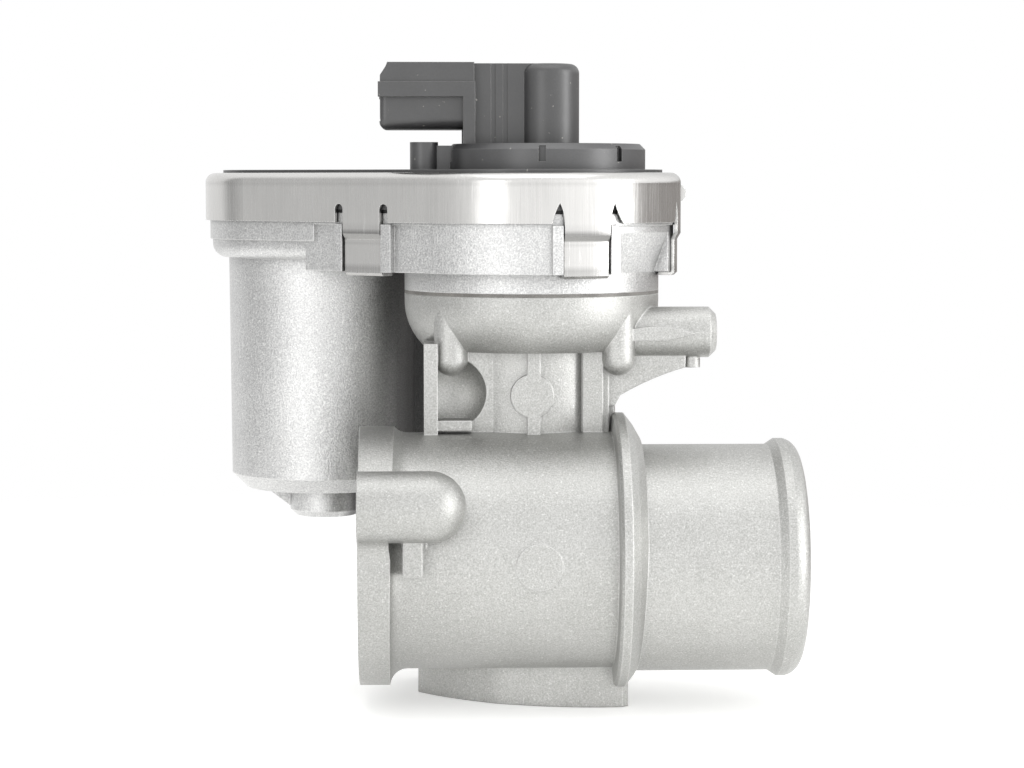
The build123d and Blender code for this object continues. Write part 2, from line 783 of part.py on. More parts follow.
def return_spring():
    """Torsion spring round the hub; its bent ends stand in the sleeve flange and in the gear web."""
    lead = spring_lead()
    z0 = washer_z + spring_bend_r + ease
    z1 = z0 + spring_pitch * spring_turns
    drop = spring_bend_r * cos(lead)
    half = (pi / 2 - lead) / 2
    side = spring_bend_r * (1 - cos(half))
    rise = spring_bend_r * sin(half)
    low, high = (spring_r, -spring_tang_y(), z0 - drop), (spring_r, spring_tang_y(), z1 + drop)
    path = Wire([
        Line((low[0], low[1], washer_z - spring_tang + 0.5), low),
        ThreePointArc(low, (low[0], low[1] + side, low[2] + rise), (spring_r, 0, z0)),
        Pos(0, 0, z0) * Helix(spring_pitch, z1 - z0, spring_r),
        ThreePointArc((spring_r, 0, z1), (high[0], high[1] - side, high[2] - rise), high),
        Line(high, (high[0], high[1], gear_z + 2.4)),
    ])
    section = Pos(low[0], low[1], washer_z - spring_tang + 0.5) * Circle(spring_wire_r)
    return on_valve_axis(sweep(section, path=path, is_frenet=True))


def intermediate_gear():
    """Large wheel over a small pinion, one moulding on the fixed pin."""
    half_tooth = 180 / small_pinion_teeth
    pinion_t = wheel_z - gear_z - 0.8
    pinion = spur(small_pinion_teeth, slow_module, gear_z - 0.4, pinion_t)
    pinion = Rot(0, 0, train_bearing + 180 + half_tooth) * pinion
    wheel = Rot(0, 0, train_bearing) * spur(wheel_teeth, fast_module, wheel_z, wheel_t)
    rim_r = fast_module * (wheel_teeth / 2 - dedendum) - 3.0
    dish = rod(rim_r, wheel_z + wheel_t - 1.2, wheel_z + wheel_t + 1)
    dish -= rod(7.0, wheel_z, wheel_z + wheel_t + 2)
    shoulder = rod(5.4, gear_z + gear_t + 0.3, wheel_z + 1)
    gear = (wheel - dish) + pinion + shoulder + rod(4.2, wheel_z, wheel_z + wheel_t + 1.2)
    return Pos(gear_x, gear_y, 0) * (gear - rod(pin_r + slip, gear_z - 2, pin_top_z))


def intermediate_pin():
    """Fixed pin, pressed into its boss in the housing floor, with a groove for the clip."""
    groove_z = wheel_z + wheel_t + 1.4
    pin = rod(pin_r, tray_z + 0.6, pin_top_z)
    groove = rod(pin_r + 1, groove_z, groove_z + 0.6) - rod(pin_r - 0.4, groove_z - 1, groove_z + 2)
    return Pos(gear_x, gear_y, 0) * (pin - groove)


def pin_clip():
    """Push-on clip that keeps the intermediate gear on its pin."""
    z = wheel_z + wheel_t + 1.4
    clip = rod(pin_r + 1.8, z + 0.05, z + 0.55) - rod(pin_r - 0.35, z - 1, z + 2)
    return Pos(gear_x, gear_y, 0) * (clip - block(0, 6, -0.9, 0.9, z - 1, z + 2))


# Motor

def motor_pinion():
    """Pinion on the motor shaft, turned so that a gap faces the wheel's tooth."""
    half_tooth = 180 / motor_pinion_teeth
    pinion = Rot(0, 0, train_bearing + 180 + half_tooth) * spur(
        motor_pinion_teeth, fast_module, wheel_z - 0.6, wheel_t + 1.6
    )
    return on_motor_axis(pinion - rod(motor_shaft_r, wheel_z - 2, wheel_z + 8))


def motor_shaft():
    return on_motor_axis(rod(motor_shaft_r, motor_nose_z + 1.2, wheel_z + wheel_t + 1.6))


def armature():
    """Laminated core with five winding slots."""
    core = rod(armature_r, armature_z, armature_z + armature_h)
    for i in range(5):
        slot = rod(2.6, armature_z - 1, armature_z + armature_h + 1, armature_r - 4.4, 0)
        slot += block(
            armature_r - 4.4, armature_r + 1, -0.8, 0.8, armature_z - 1, armature_z + armature_h + 1
        )
        core -= Rot(0, 0, 72 * i) * slot
    return on_motor_axis(core - rod(motor_shaft_r, 0, 100))


def commutator():
    """Copper barrel with a riser collar next to the windings."""
    barrel = rod(commutator_r, commutator_z, commutator_z + commutator_h)
    barrel += rod(commutator_r + 1.6, armature_z + armature_h, commutator_z + 1.2)
    return on_motor_axis(barrel - rod(motor_shaft_r, 0, 100))


def motor_case():
    """Drawn steel can with a nose for the lower bearing."""
    inner = motor_r - motor_wall
    nose_in = motor_bearing_r
    floor = motor_bottom_z + motor_wall
    return on_motor_axis(turned(
        (0, motor_nose_z), (motor_nose_r, motor_nose_z), (motor_nose_r, motor_bottom_z),
        (motor_r - 1.5, motor_bottom_z),
        (motor_r, motor_bottom_z + 1.5), (motor_r, tray_floor_z), (inner, tray_floor_z), (inner, floor),
        (nose_in, floor), (nose_in, motor_nose_z + 1.0), (0, motor_nose_z + 1.0)
    ))


def motor_magnets():
    """Two curved magnets against the case wall."""
    outer = motor_r - motor_wall - magnet_ease
    z0, z1 = armature_z - 1.5, armature_z + armature_h + 1.5
    shell = ring_sector(outer - magnet_t, outer, z0, z1, -65, 130)
    return on_motor_axis(shell), on_motor_axis(Rot(0, 0, 180) * shell)


def motor_bearings():
    """Two sintered bushes, one in the case nose and one in the motor plate."""
    z0 = motor_nose_z + 2.0
    bush = rod(motor_bearing_r, z0, z0 + motor_bearing_h) - rod(motor_shaft_r + slip, z0 - 1, z0 + 9)
    upper = tray_floor_z + 0.2 - z0
    return on_motor_axis(bush), on_motor_axis(Pos(0, 0, upper) * bush)


def motor_plate():
    """Steel end plate, screwed to the tray floor, with a drawn collar for the upper bush."""
    z0 = tray_floor_z
    plate = rod(motor_plate_r, z0, z0 + motor_plate_t)
    plate += rod(motor_bearing_r + 1.8, z0, z0 + motor_bearing_h + 0.2)
    plate -= rod(motor_bearing_r, z0 - 1, z0 + 9)
    for side in (-1, 1):
        plate -= rod(motor_screw_r + 0.2, z0 - 1, z0 + 3, 0, side * motor_screw_at)
        y = side * contact_y
        half = contact_w / 2 + 0.6
        plate -= block(contact_x - 0.6, contact_x + contact_t + 0.6, y - half, y + half, z0 - 1, z0 + 3)
        plate -= rod(3.0, z0 - 1, z0 + 3, 11, side * 9)
    return on_motor_axis(Rot(0, 0, train_bearing + 180) * plate)


def brush_card():
    """Plastic card inside the motor top with two brush boxes."""
    card = rod(motor_r - motor_wall - 0.1, card_z, card_z + card_t)
    card -= rod(commutator_r + 0.8, card_z - 1, card_z + card_t + 1)
    for side in (-1, 1):
        x0 = commutator_r + 1.2
        x1 = x0 + brush_box_length
        half = brush_w / 2
        floor = card_z - brush_h
        holder = block(x0, x1, -half - brush_box_wall, half + brush_box_wall, floor - 1.4, card_z)
        holder -= block(x0 - 1, x1 - brush_box_wall, -half - 0.1, half + 0.1, floor - 0.1, card_z - 0.05)
        card += Rot(0, 0, 90 - 90 * side) * holder
    return on_motor_axis(card)


def brushes():
    """Two carbon brushes against the commutator."""
    x0 = commutator_r + 0.15
    brush = block(x0, x0 + brush_length, -brush_w / 2, brush_w / 2, card_z - brush_h, card_z - 0.1)
    return on_motor_axis(brush), on_motor_axis(Rot(0, 0, 180) * brush)


def motor_contacts():
    """Two blades that carry the current from the cover down to the brush card."""
    made = []
    for side in (-1, 1):
        y = side * contact_y
        blade = block(contact_x, contact_x + contact_t, y - contact_w / 2, y + contact_w / 2,
                      card_z + card_t, cover_under_z)
        made.append(on_motor_axis(Rot(0, 0, train_bearing + 180) * blade))
    return made


def wave_washer():
    """Spring washer between the housing floor and the motor case."""
    z0 = can_bottom_z + can_floor_t
    outer = motor_r - wave_washer_inset
    washer = rod(outer, z0, motor_bottom_z) - rod(outer - wave_washer_w, z0 - 1, motor_bottom_z + 1)
    return on_motor_axis(washer)


def motor_screws():
    """Two pan-head screws through the motor plate."""
    z0 = tray_floor_z + motor_plate_t
    made = []
    for side in (-1, 1):
        x = side * motor_screw_at
        screw = rod(2.0, z0, z0 + 1.6, x, 0) + rod(motor_screw_r, z0 - motor_screw_length, z0, x, 0)
        screw -= rod(0.8, z0 + 0.7, z0 + 3, x, 0)
        made.append(on_motor_axis(Rot(0, 0, train_bearing + 90) * screw))
    return made


# Housing

def tab_seats():
    """(where, angle or way) of each clamp ring tab: w front wall, b back wall, v valve lobe, m motor lobe."""
    return (("w", 37.6), ("b", 37.6), ("v", 289.0), ("v", 352.0), ("v", 38.0), ("m", motor_tab_angle))


def at_seat(outline, seat, width):
    """Carries a (offset, z) outline along the wall at one tab."""
    where, place = seat
    if where in "wb":
        return on_wall(outline, 1 if where == "w" else -1, place, width)
    return on_lobe(outline, place, width, motor=where == "m")


def motor_side():
    """Tool that covers the motor end of the tray, bounded square across the walls."""
    angle = radians(train_bearing)
    way = axle_distance - 16.0
    tool = Pos(50, 0, 0) * Box(100, 200, 40)
    return Pos(valve_x + way * cos(angle), valve_y + way * sin(angle), 70) * Rot(0, 0, train_bearing) * tool


def raised(grow, z0, z1, seat, width):
    """Part of the two-lobed slab that stands out from the tray wall at one place."""
    region = at_seat(box_outline(-8, 3, z0 - 1, z1 + 1), seat, width)
    return lobed_slab(grow, z0, z1) & region


def tray_outside():
    """Two-lobed tray: flat-bottomed under the gears, with a rounded lip round the motor lobe."""
    inside_ring = -sheet_t - 0.3
    flush = -0.15
    step = inside_ring - panel_step
    lip = lobed_slab(step, motor_lip_z, tray_top_z)
    lip = fillet(lip.edges().group_by(Axis.Z)[0], motor_lip_round)
    tray = (lip & motor_side()) + (lobed_slab(step, tray_z, tray_top_z) - motor_side())
    tray += lobed_slab(inside_ring, panel_top_z, tray_top_z)
    # Raised band round the motor lobe, with its end on the front wall
    tray += lobed_slab(inside_ring, panel_top_z - 4.0, panel_top_z) & motor_side()
    tray += raised(inside_ring, panel_top_z - 4.0, panel_top_z, ("w", 14.0), 16.0)
    # Raised front panel, and the posts beside the tabs flush with the ring
    tray += raised(inside_ring, tray_z, panel_top_z, ("v", 251.0), 30.3)
    for seat, width in ((("w", 30.4), 2.2), (("w", 44.9), 3.0), (("v", 277.4), 2.5), (("v", 300.2), 2.0)):
        tray += raised(flush, tray_z, ring_bottom_z - 0.4, seat, width)
    gap = at_seat(box_outline(step, 1, motor_lip_z - 1, panel_top_z), ("m", motor_tab_angle), tab_w + 1.2)
    return tray - gap


def tray_relief():
    """Conical scoop that blends the tray into the round skirt between two tabs."""
    skirt = bowl_r - valve_lobe_r
    scoop = (
        (skirt, tray_z - 1), (2, tray_z - 1), (2, panel_top_z), (-sheet_t - 0.3, panel_top_z), (skirt, tray_z)
    )
    return on_lobe(scoop, 322.0, 21.0)


def can_outside():
    """Drafted motor can with a chamfered foot and a small bearing boss under it."""
    can = turned(
        (0, can_bottom_z), (can_foot_r - can_chamfer, can_bottom_z), (can_foot_r, can_bottom_z + can_chamfer),
        (can_r, tray_z), (can_r, tray_floor_z), (0, tray_floor_z)
    )
    can += turned(
        (0, can_boss_z), (can_boss_r - 1.4, can_boss_z), (can_boss_r, can_boss_z + 1.4),
        (can_boss_r, can_bottom_z + 1),
        (0, can_bottom_z + 1)
    )
    web = Plane.XZ * make_face(Polyline((-16.5, 10), (-6, 10), (-6, 4.4), (-9.2, 4.4), close=True))
    return on_motor_axis(can + Pos(0, 1.5, 0) * extrude(web, 3.0))


def housing_cuts():
    """Gear chamber, spring bore, motor bore, bearing pocket and screw holes."""
    cuts = lobed_slab(-sheet_t - 0.3 - tray_wall, tray_floor_z, tray_top_z + 1)
    cuts -= on_valve_axis(ring_sector(bowl_r - 3.4, valve_lobe_r, tray_z, panel_top_z, 297.0, 50.0))
    cuts += on_valve_axis(rod(skirt_inner_r, skirt_z - 1, tray_floor_z + 1))
    motor = rod(can_bore_r, can_bottom_z + can_floor_t, tray_floor_z + 1)
    motor += rod(can_pocket_r, can_boss_z + 3.2, can_bottom_z + can_floor_t + 1)
    for side in (-1, 1):
        hole = rod(motor_screw_r + thread_ease, tray_floor_z - motor_screw_length, tray_floor_z + 1,
                   side * motor_screw_at, 0)
        motor += Rot(0, 0, train_bearing + 90) * hole
    cuts += on_motor_axis(motor)
    seat_level = housing_screw_seat_z
    for x, y in screw_places():
        cuts += on_valve_axis(rod(housing_screw_r + 0.3, skirt_z - 1, tray_floor_z, x, y))
        cuts += on_valve_axis(rod(housing_screw_head_r + ease, seat_level, tray_top_z, x, y))
    return cuts


def stop_pegs():
    """Two cast pegs that end the travel of the sector."""
    pitch = 360 / sector_teeth
    numbers = sector_numbers()
    peg_r, at_r = 2.2, 22.5
    margin = degrees((peg_r + ease + 0.1) / at_r)
    closed = train_bearing + (numbers[0] - 0.5) * pitch - margin
    opened = train_bearing + (numbers[-1] + 0.5) * pitch + opening_angle + margin
    pegs = [polar(at_r, radians(angle)) for angle in (closed, opened)]
    return pegs, peg_r


def actuator_housing():
    """Actuator casting: skirt on the bowl, gear tray and motor can."""
    housing = tray_outside() - tray_relief()
    housing += on_valve_axis(rod(bowl_r, skirt_z, tray_floor_z)) + can_outside()
    housing -= housing_cuts()
    housing += Pos(gear_x, gear_y, 0) * rod(pin_r + 1.3, tray_floor_z - 1, gear_z - 0.6)
    pegs, peg_r = stop_pegs()
    for x, y in pegs:
        foot = skirt_inner_r - peg_r + 0.3
        root = tray_z + 0.5 if hypot(x, y) > foot else tray_z
        housing += on_valve_axis(rod(peg_r, root, gear_z + gear_t - 1, x, y))
    return housing - Pos(gear_x, gear_y, 0) * rod(pin_r, tray_z + 0.6, gear_z)


def body_gasket():
    """Flat gasket between bowl and actuator casting."""
    gasket = rod(bowl_r, bowl_top_z, skirt_z) - rod(bowl_inner_r, bowl_top_z - 1, skirt_z + 1)
    for x, y in screw_places():
        gasket -= rod(housing_screw_r + 0.3, bowl_top_z - 1, skirt_z + 1, x, y)
    return on_valve_axis(gasket)


def housing_screws():
    """Four socket-head screws from inside the tray into the bowl."""
    seat_level = housing_screw_seat_z
    made = []
    for x, y in screw_places():
        screw = rod(housing_screw_head_r, seat_level, seat_level + housing_screw_head_t, x, y)
        screw += rod(housing_screw_r, screw_boss_z + 4, seat_level, x, y)
        socket = Pos(x, y, seat_level + 1.4) * extrude(RegularPolygon(1.7, 6), 3)
        made.append(on_valve_axis(screw - socket))
    return made


# Cover and clamp ring

def cover_seal():
    """Flat lip seal between tray wall and cover."""
    outer = -sheet_t - 0.3
    return lobed_slab(outer - 0.3, tray_top_z, cover_z) - lobed_slab(outer - 2.4, tray_top_z - 1, cover_z + 1)


def sensor_tower():
    """Base disc, sensor dome and the block that leads to the connector."""
    base = Pos(base_x, base_y, 0) * turned(
        (0, cover_rim_z), (base_r, cover_rim_z), (base_r, base_top_z - base_chamfer),
        (base_r - base_chamfer, base_top_z),
        (0, base_top_z)
    )
    for angle in (-165, -95, -46.5):
        notch = block(base_r - 1.0, base_r + 1, -0.8, 0.8, base_top_z - 4.2, base_top_z - 0.6)
        base -= Pos(base_x, base_y, 0) * Rot(0, 0, angle) * notch
    width = dome_x1 - dome_x0
    plan = Pos((dome_x0 + dome_x1) / 2, valve_y) * Rot(0, 0, 90) * SlotOverall(dome_length, width)
    dome = Pos(0, 0, base_top_z - 1) * extrude(plan, dome_top_z - base_top_z + 1)
    dome = fillet(dome.edges().group_by(Axis.Z)[-1], dome_round)
    y1 = 2 * valve_y - block_y0
    lead = block(block_x0 - 0.5, dome_x0 + width / 2, block_y0, y1, base_top_z - 1, dome_top_z)
    for x in (dome_x0 - 6.0, dome_x0 - 3.2):
        lead -= block(x - 0.5, x + 0.5, block_y0 - 1, block_y0 + 0.25, base_top_z - 2, dome_top_z + 1)
    return base + lead + dome


def connector_shroud():
    """Open-ended plug shroud: wider upper half with a band, rounded lower half, corner pillar."""
    x0, x1 = connector_x0, block_x0
    y0, y1 = valve_y - connector_y_half, valve_y + connector_y_half
    top = dome_top_z + 0.2
    upper_side = Plane.XZ * make_face(Polyline(
        (x0 + 2.2, top), (x1, top), (x1, connector_split_z), (x0 + 0.4, connector_split_z),
        (x0 + 0.5, top - 3.0), (x0 + 1.8, top - 1.0), close=True
    ))
    upper = Pos(0, y1, 0) * extrude(upper_side, y1 - y0)
    lower_plan = Pos(valve_y, (connector_z0 + connector_split_z) / 2 + 1.5) * RectangleRounded(
        2 * (connector_y_half - connector_inset), connector_split_z - connector_z0 + 3, 2.8
    )
    lower = Pos(x0 + 0.3, 0, 0) * extrude(Plane.YZ * lower_plan, x1 - x0)
    mouth_edge = lower.edges().filter_by(Axis.Y).group_by(Axis.Z)[0].sort_by(Axis.X)[0]
    lower = fillet(mouth_edge, connector_wall - 0.2)
    band = block(x0, x1 + 0.2, y0 - 0.5, y1 + 0.5, connector_split_z, connector_split_z + 3.5)
    shroud = upper + lower + band
    for y in (y0 - 0.5, y1 + 0.5 - 4.0):
        shroud += block(x1 - 2.6, x1 + 0.2, y, y + 4.0, base_top_z - 1, connector_split_z + 1)
    return shroud


def connector_socket():
    """Space inside the shroud, open to the plug."""
    y_half = connector_y_half - connector_wall
    return block(
        connector_x0 - 1, connector_x0 + connector_depth, valve_y - y_half, valve_y + y_half,
        connector_z0 + connector_wall, dome_top_z - connector_wall
    )


def terminal_places():
    """Y of each connector terminal."""
    return [valve_y + (i - (terminal_count - 1) / 2) * terminal_pitch for i in range(terminal_count)]


def terminal_blades(grow=0.0):
    """Terminal blades from the socket into the block; grow opens them for their slots."""
    z = (connector_z0 + dome_top_z) / 2
    wall_x = connector_x0 + connector_depth
    x0, x1 = wall_x - terminal_reach, wall_x + terminal_root
    w, t = terminal_w / 2 + grow, terminal_t / 2 + grow
    return [block(x0, x1, y - w, y + w, z - t, z + t) for y in terminal_places()]


def sensor_board():
    """Circuit board with the position sensor, upright beside the magnet."""
    y0, y1 = valve_y - board_half, valve_y + board_half
    return block(board_x, board_x + board_t, y0, y1, cover_under_z + 1, sensor_top_z)


def cover():
    """Moulded lid: rim under the clamp ring, roof, sensor dome and connector."""
    outer = -sheet_t - ease
    lid = lobed_slab(outer, cover_z, cover_rim_z)
    lid = fillet(lid.edges().group_by(Axis.Z)[-1], ring_bend_r - sheet_t + 0.1)
    lid += lobed_slab(-ring_lip_w - ease, cover_rim_z - 0.5, cover_top_z)
    lid += sensor_tower() + connector_shroud()
    lid += rod(post_r, cover_rim_z, post_top_z, post_x, post_y)
    lid += block(post_x, base_x - 15, post_y - 1.4, post_y + 1.4, cover_rim_z, post_top_z - 0.8)
    lid -= lobed_slab(outer - cover_rim_wall, cover_z - 1, cover_under_z)
    lid -= connector_socket()
    lid -= on_valve_axis(rod(sensor_bore_r, cover_under_z - 1, sensor_top_z))
    half = board_half + 0.1
    lid -= block(
        valve_x, board_x + board_t + 0.1, valve_y - half, valve_y + half, cover_under_z - 1, sensor_top_z
    )
    for blade in terminal_blades():
        lid -= blade
    return lid


def connector_terminals():
    return terminal_blades()


def sensor_magnet():
    """Ring magnet on the end of the stem rod."""
    return on_valve_axis(rod(magnet_r, magnet_z, magnet_z + magnet_h) - rod(sensor_rod_r, magnet_z - 1, 120))


def tab_outline():
    """Section of one tab: down over the wall, a fold inwards, and a hook under the tray."""
    t = sheet_t
    inward = panel_step + 0.2
    foot = tray_z - 0.1
    return (
        (-t, ring_bottom_z + 1), (-t, tab_fold_z), (-t - inward, tab_fold_z - 1.4), (-t - inward, foot),
        (-t - inward - tab_hook, foot), (-t - inward - tab_hook, foot - t), (-inward - 0.6, foot - t),
        (-inward, foot - t + 0.6), (-inward, tab_fold_z - 1.6), (0, tab_fold_z - 0.2), (0, ring_bottom_z + 1)
    )


def seat_face(seat):
    """Plane on the ring's outer face at a tab: x runs anticlockwise round the ring, y is up."""
    where, place = seat
    if where in "wb":
        section = wall_plane(1 if where == "w" else -1, place)
        origin, normal = section.origin, section.x_dir
    else:
        radius = motor_lobe_r if where == "m" else valve_lobe_r
        centre = Vector(motor_x, motor_y, 0) if where == "m" else Vector(valve_x, valve_y, 0)
        normal = Vector(cos(radians(place)), sin(radians(place)), 0)
        origin = centre + normal * radius
    return Plane(origin=origin, x_dir=Vector(-normal.Y, normal.X, 0), z_dir=normal)


def tab_slot(seat, side):
    """Cutter of the slot beside a tab: round-topped on the straight walls, drawn to a point on the lobes."""
    low, top = ring_bottom_z - 1, tab_slot_top_z
    inner, outer = side * tab_w / 2, side * (tab_w / 2 + tab_slot_w)
    if seat[0] in "wb":
        round_r = tab_slot_w / 2
        edges = [
            Polyline((inner, top - round_r), (inner, low), (outer, low), (outer, top - round_r)),
            ThreePointArc((outer, top - round_r), ((inner + outer) / 2, top), (inner, top - round_r)),
        ]
    else:
        flare = outer + (tab_slot_flare if side > 0 else -tab_slot_flare / 4)
        tip = (inner + 0.45 * (outer - inner), top + 0.4)
        edges = [
            Line((inner, low), (flare, low)),
            ThreePointArc((flare, low), (outer, ring_bottom_z + 1.6), tip),
            ThreePointArc(tip, (inner + 0.1 * (outer - inner), ring_bottom_z + 2.4), (inner, low)),
        ]
    face = seat_face(seat) * make_face(edges)
    return extrude(face, 5, both=True)


def clamp_ring():
    """Stamped ring: rolled lip over the cover, straight skirt, hooked tabs between slots."""
    shell = lobed_slab(0, ring_bottom_z, ring_top_z)
    shell = fillet(shell.edges().group_by(Axis.Z)[-1], ring_bend_r)
    core = lobed_slab(-sheet_t, ring_bottom_z - 1, cover_rim_z)
    core = fillet(core.edges().group_by(Axis.Z)[-1], ring_bend_r - sheet_t)
    ring = shell - core - lobed_slab(-ring_lip_w, ring_top_z - 3, ring_top_z + 1)
    for seat in tab_seats():
        ring -= tab_slot(seat, 1) + tab_slot(seat, -1)
        ring += at_seat(tab_outline(), seat, tab_w)
    # Folded seam end at the right of the valve lobe
    z0, z1 = ring_top_z - 6.7, ring_top_z - 3.0
    bead = ((-sheet_t, z0), (0.9, z0), (1.8, z0 + 1.1), (1.8, z1 - 1.1), (0.9, z1), (-sheet_t, z1))
    nub = on_lobe(bead, 8.0, 4.0)
    return ring + nub


parts = {
    "valve_body": valve_body(),
    "seat_ring": seat_ring(),
    "valve_disc": valve_disc(),
    "valve_stem": valve_stem(),
    "stem_bush": stem_bush(),
    "stem_seal": stem_seal(),
    "guide_sleeve": guide_sleeve(),
    "thrust_washer": thrust_washer(),
    "output_gear": output_gear(),
    "sleeve_clip": sleeve_clip(),
    "cross_pin": cross_pin(),
    "cam_rollers": cam_rollers(),
    "return_spring": return_spring(),
    "intermediate_gear": intermediate_gear(),
    "intermediate_pin": intermediate_pin(),
    "pin_clip": pin_clip(),
    "motor_pinion": motor_pinion(),
    "motor_shaft": motor_shaft(),
    "armature": armature(),
    "commutator": commutator(),
    "motor_case": motor_case(),
    "motor_magnets": motor_magnets(),
    "motor_bearings": motor_bearings(),
    "motor_plate": motor_plate(),
    "brush_card": brush_card(),
    "brushes": brushes(),
    "motor_contacts": motor_contacts(),
    "wave_washer": wave_washer(),
    "motor_screws": motor_screws(),
    "actuator_housing": actuator_housing(),
    "body_gasket": body_gasket(),
    "housing_screws": housing_screws(),
    "cover_seal": cover_seal(),
    "cover": cover(),
    "sensor_magnet": sensor_magnet(),
    "sensor_board": sensor_board(),
    "connector_terminals": connector_terminals(),
    "clamp_ring": clamp_ring(),
}

for node, shape in parts.items():
    if isinstance(shape, (list, tuple)):
        shape = Compound(children=list(shape))
    export_step(shape, f"parts/{node}.step")
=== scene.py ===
# %% [markdown]
# # An exhaust gas recirculation valve, dressed for its portrait
#
# The real object is a die-cast intake duct with a geared electric valve on top. Every piece that has a size, a
# seat or a joint comes ready made, as a node of the imported model. This notebook gives those pieces their finishes,
# adds the motor's windings and a dark rib that fills the shaded gap behind the can, and sets up a plain studio.
#
# The first cell loads the frame. Everything is in metres and already in place, so nothing is moved later.

# %% Load the frame
import math

import bpy
import numpy as np
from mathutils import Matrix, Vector


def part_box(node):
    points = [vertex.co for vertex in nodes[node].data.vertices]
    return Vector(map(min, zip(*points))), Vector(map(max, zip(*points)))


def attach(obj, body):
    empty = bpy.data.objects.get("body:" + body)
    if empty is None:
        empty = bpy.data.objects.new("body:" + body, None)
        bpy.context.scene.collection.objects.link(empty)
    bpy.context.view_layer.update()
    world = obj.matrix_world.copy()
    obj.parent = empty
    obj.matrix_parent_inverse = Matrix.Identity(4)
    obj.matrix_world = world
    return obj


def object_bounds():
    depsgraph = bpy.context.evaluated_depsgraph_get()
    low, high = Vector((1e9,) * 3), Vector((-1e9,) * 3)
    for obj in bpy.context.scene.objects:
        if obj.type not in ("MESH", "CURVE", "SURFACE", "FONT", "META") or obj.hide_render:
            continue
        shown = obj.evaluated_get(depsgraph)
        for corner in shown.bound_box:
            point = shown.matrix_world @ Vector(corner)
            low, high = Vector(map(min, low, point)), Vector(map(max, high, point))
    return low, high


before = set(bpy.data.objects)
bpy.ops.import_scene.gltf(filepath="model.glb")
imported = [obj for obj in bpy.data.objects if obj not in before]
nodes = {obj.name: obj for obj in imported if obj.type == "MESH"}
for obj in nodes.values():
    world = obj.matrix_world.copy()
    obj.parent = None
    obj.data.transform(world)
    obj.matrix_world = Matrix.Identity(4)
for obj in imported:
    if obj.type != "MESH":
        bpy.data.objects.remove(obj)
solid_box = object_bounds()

MM = 0.001

# %% [markdown]
# ## Colours and patterns in real units
#
# Colours are written the way a paint chart gives them, as sRGB hex values, and turned to the linear values that
# a renderer adds up. Patterns are written as real sizes: a grain of 0.4 mm is a grain of 0.4 mm on every piece,
# because the texture coordinates are the object's own metres.

# %% Helpers for colours and nodes
def linear(code):
    """Linear RGBA of an sRGB hex code: each channel's sRGB curve is undone."""
    channels = [int(code[i:i + 2], 16) / 255 for i in (1, 3, 5)]
    return tuple(c / 12.92 if c <= 0.04045 else ((c + 0.055) / 1.055) ** 2.4 for c in channels) + (1.0,)


def grey(level):
    """Linear RGBA of a neutral grey."""
    return (level, level, level, 1.0)


def per(size_mm):
    """Texture scale at which one feature of a noise is about `size_mm` wide."""
    return 1 / (size_mm * MM)


def node(tree, kind, inputs=None, **settings):
    """Adds a node: `settings` are its properties, `inputs` maps a socket to a value or to another node's output."""
    new = tree.nodes.new(kind)
    for name, value in settings.items():
        setattr(new, name, value)
    for name, value in (inputs or {}).items():
        if isinstance(value, bpy.types.NodeSocket):
            tree.links.new(value, new.inputs[name])
        else:
            new.inputs[name].default_value = value
    return new


MIX_A, MIX_B, MIX_OUT = 6, 7, 2  # the Mix node's sockets when it mixes colours
print("aluminium grey, linear:", [round(c, 3) for c in linear("#c8c7c2")])

# %% [markdown]
# ## The steps that all finishes share
#
# Real surfaces vary at three scales. Over centimetres the tone drifts, from handling, casting skin and oil.
# Over tenths of a millimetre there is grain: blasted pits, moulded texture, brushed lines. And every edge is a
# little round and lighter: a little polished, because edges are what hands and trays touch, and a painted highlight.
# Cycles' Bevel node gives the round edge without touching the mesh, and comparing its normal with the true one says
# where the edges are.

# %% Noise, ranges and mixes
def noise(tree, place, size, detail=3.0, stretch=(1, 1, 1), rough=0.55):
    """Noise between 0 and 1 with features `size` mm wide, longer along an axis by its `stretch`."""
    if stretch != (1, 1, 1):
        place = node(tree, "ShaderNodeMapping", {"Vector": place, "Scale": [1 / s for s in stretch]}).outputs[0]
    inputs = {"Vector": place, "Scale": per(size), "Detail": detail, "Roughness": rough}
    return node(tree, "ShaderNodeTexNoise", inputs).outputs["Fac"]


def ranged(tree, value, low, high, to_low=0.0, to_high=1.0):
    """Carries `value` from low..high over to to_low..to_high and holds it there."""
    inputs = {"Value": value, "From Min": low, "From Max": high, "To Min": to_low, "To Max": to_high}
    return node(tree, "ShaderNodeMapRange", inputs).outputs["Result"]


def sums(tree, operation, a, b):
    """One arithmetic step on two values."""
    return node(tree, "ShaderNodeMath", {0: a, 1: b}, operation=operation).outputs[0]


def mixed(tree, factor, a, b, blend="MIX"):
    """Colour a where the factor is 0 and b where it is 1."""
    made = node(tree, "ShaderNodeMix", {0: factor, MIX_A: a, MIX_B: b}, data_type="RGBA", blend_type=blend)
    return made.outputs[MIX_OUT]


print("texture scale of a 0.35 mm grain:", round(per(0.35), 1))

# %% [markdown]
# ## Painted shade by place
#
# Some shade is painted at a place on the object: the can's flank in the gap by the tower, the flange end of the
# duct, the bends of the ring's tabs, the dome and the plug of the cover. A point's compass angle, its distance
# from an upright axis or its place along one axis is measured, and a short list of (place, level) pairs turns
# that into a grey level, which the finish multiplies with its colour.

# %% Where a point is
def bearing(tree, place, centre=(0.0, 0.0)):
    """Compass angle in degrees of a point seen from a centre: 0 is towards the camera's side, 90 is right."""
    split = node(tree, "ShaderNodeSeparateXYZ", {0: place}).outputs
    east = sums(tree, "SUBTRACT", split["X"], centre[0])
    south = sums(tree, "SUBTRACT", centre[1], split["Y"])
    return sums(tree, "MULTIPLY", sums(tree, "ARCTAN2", east, south), 180 / math.pi)


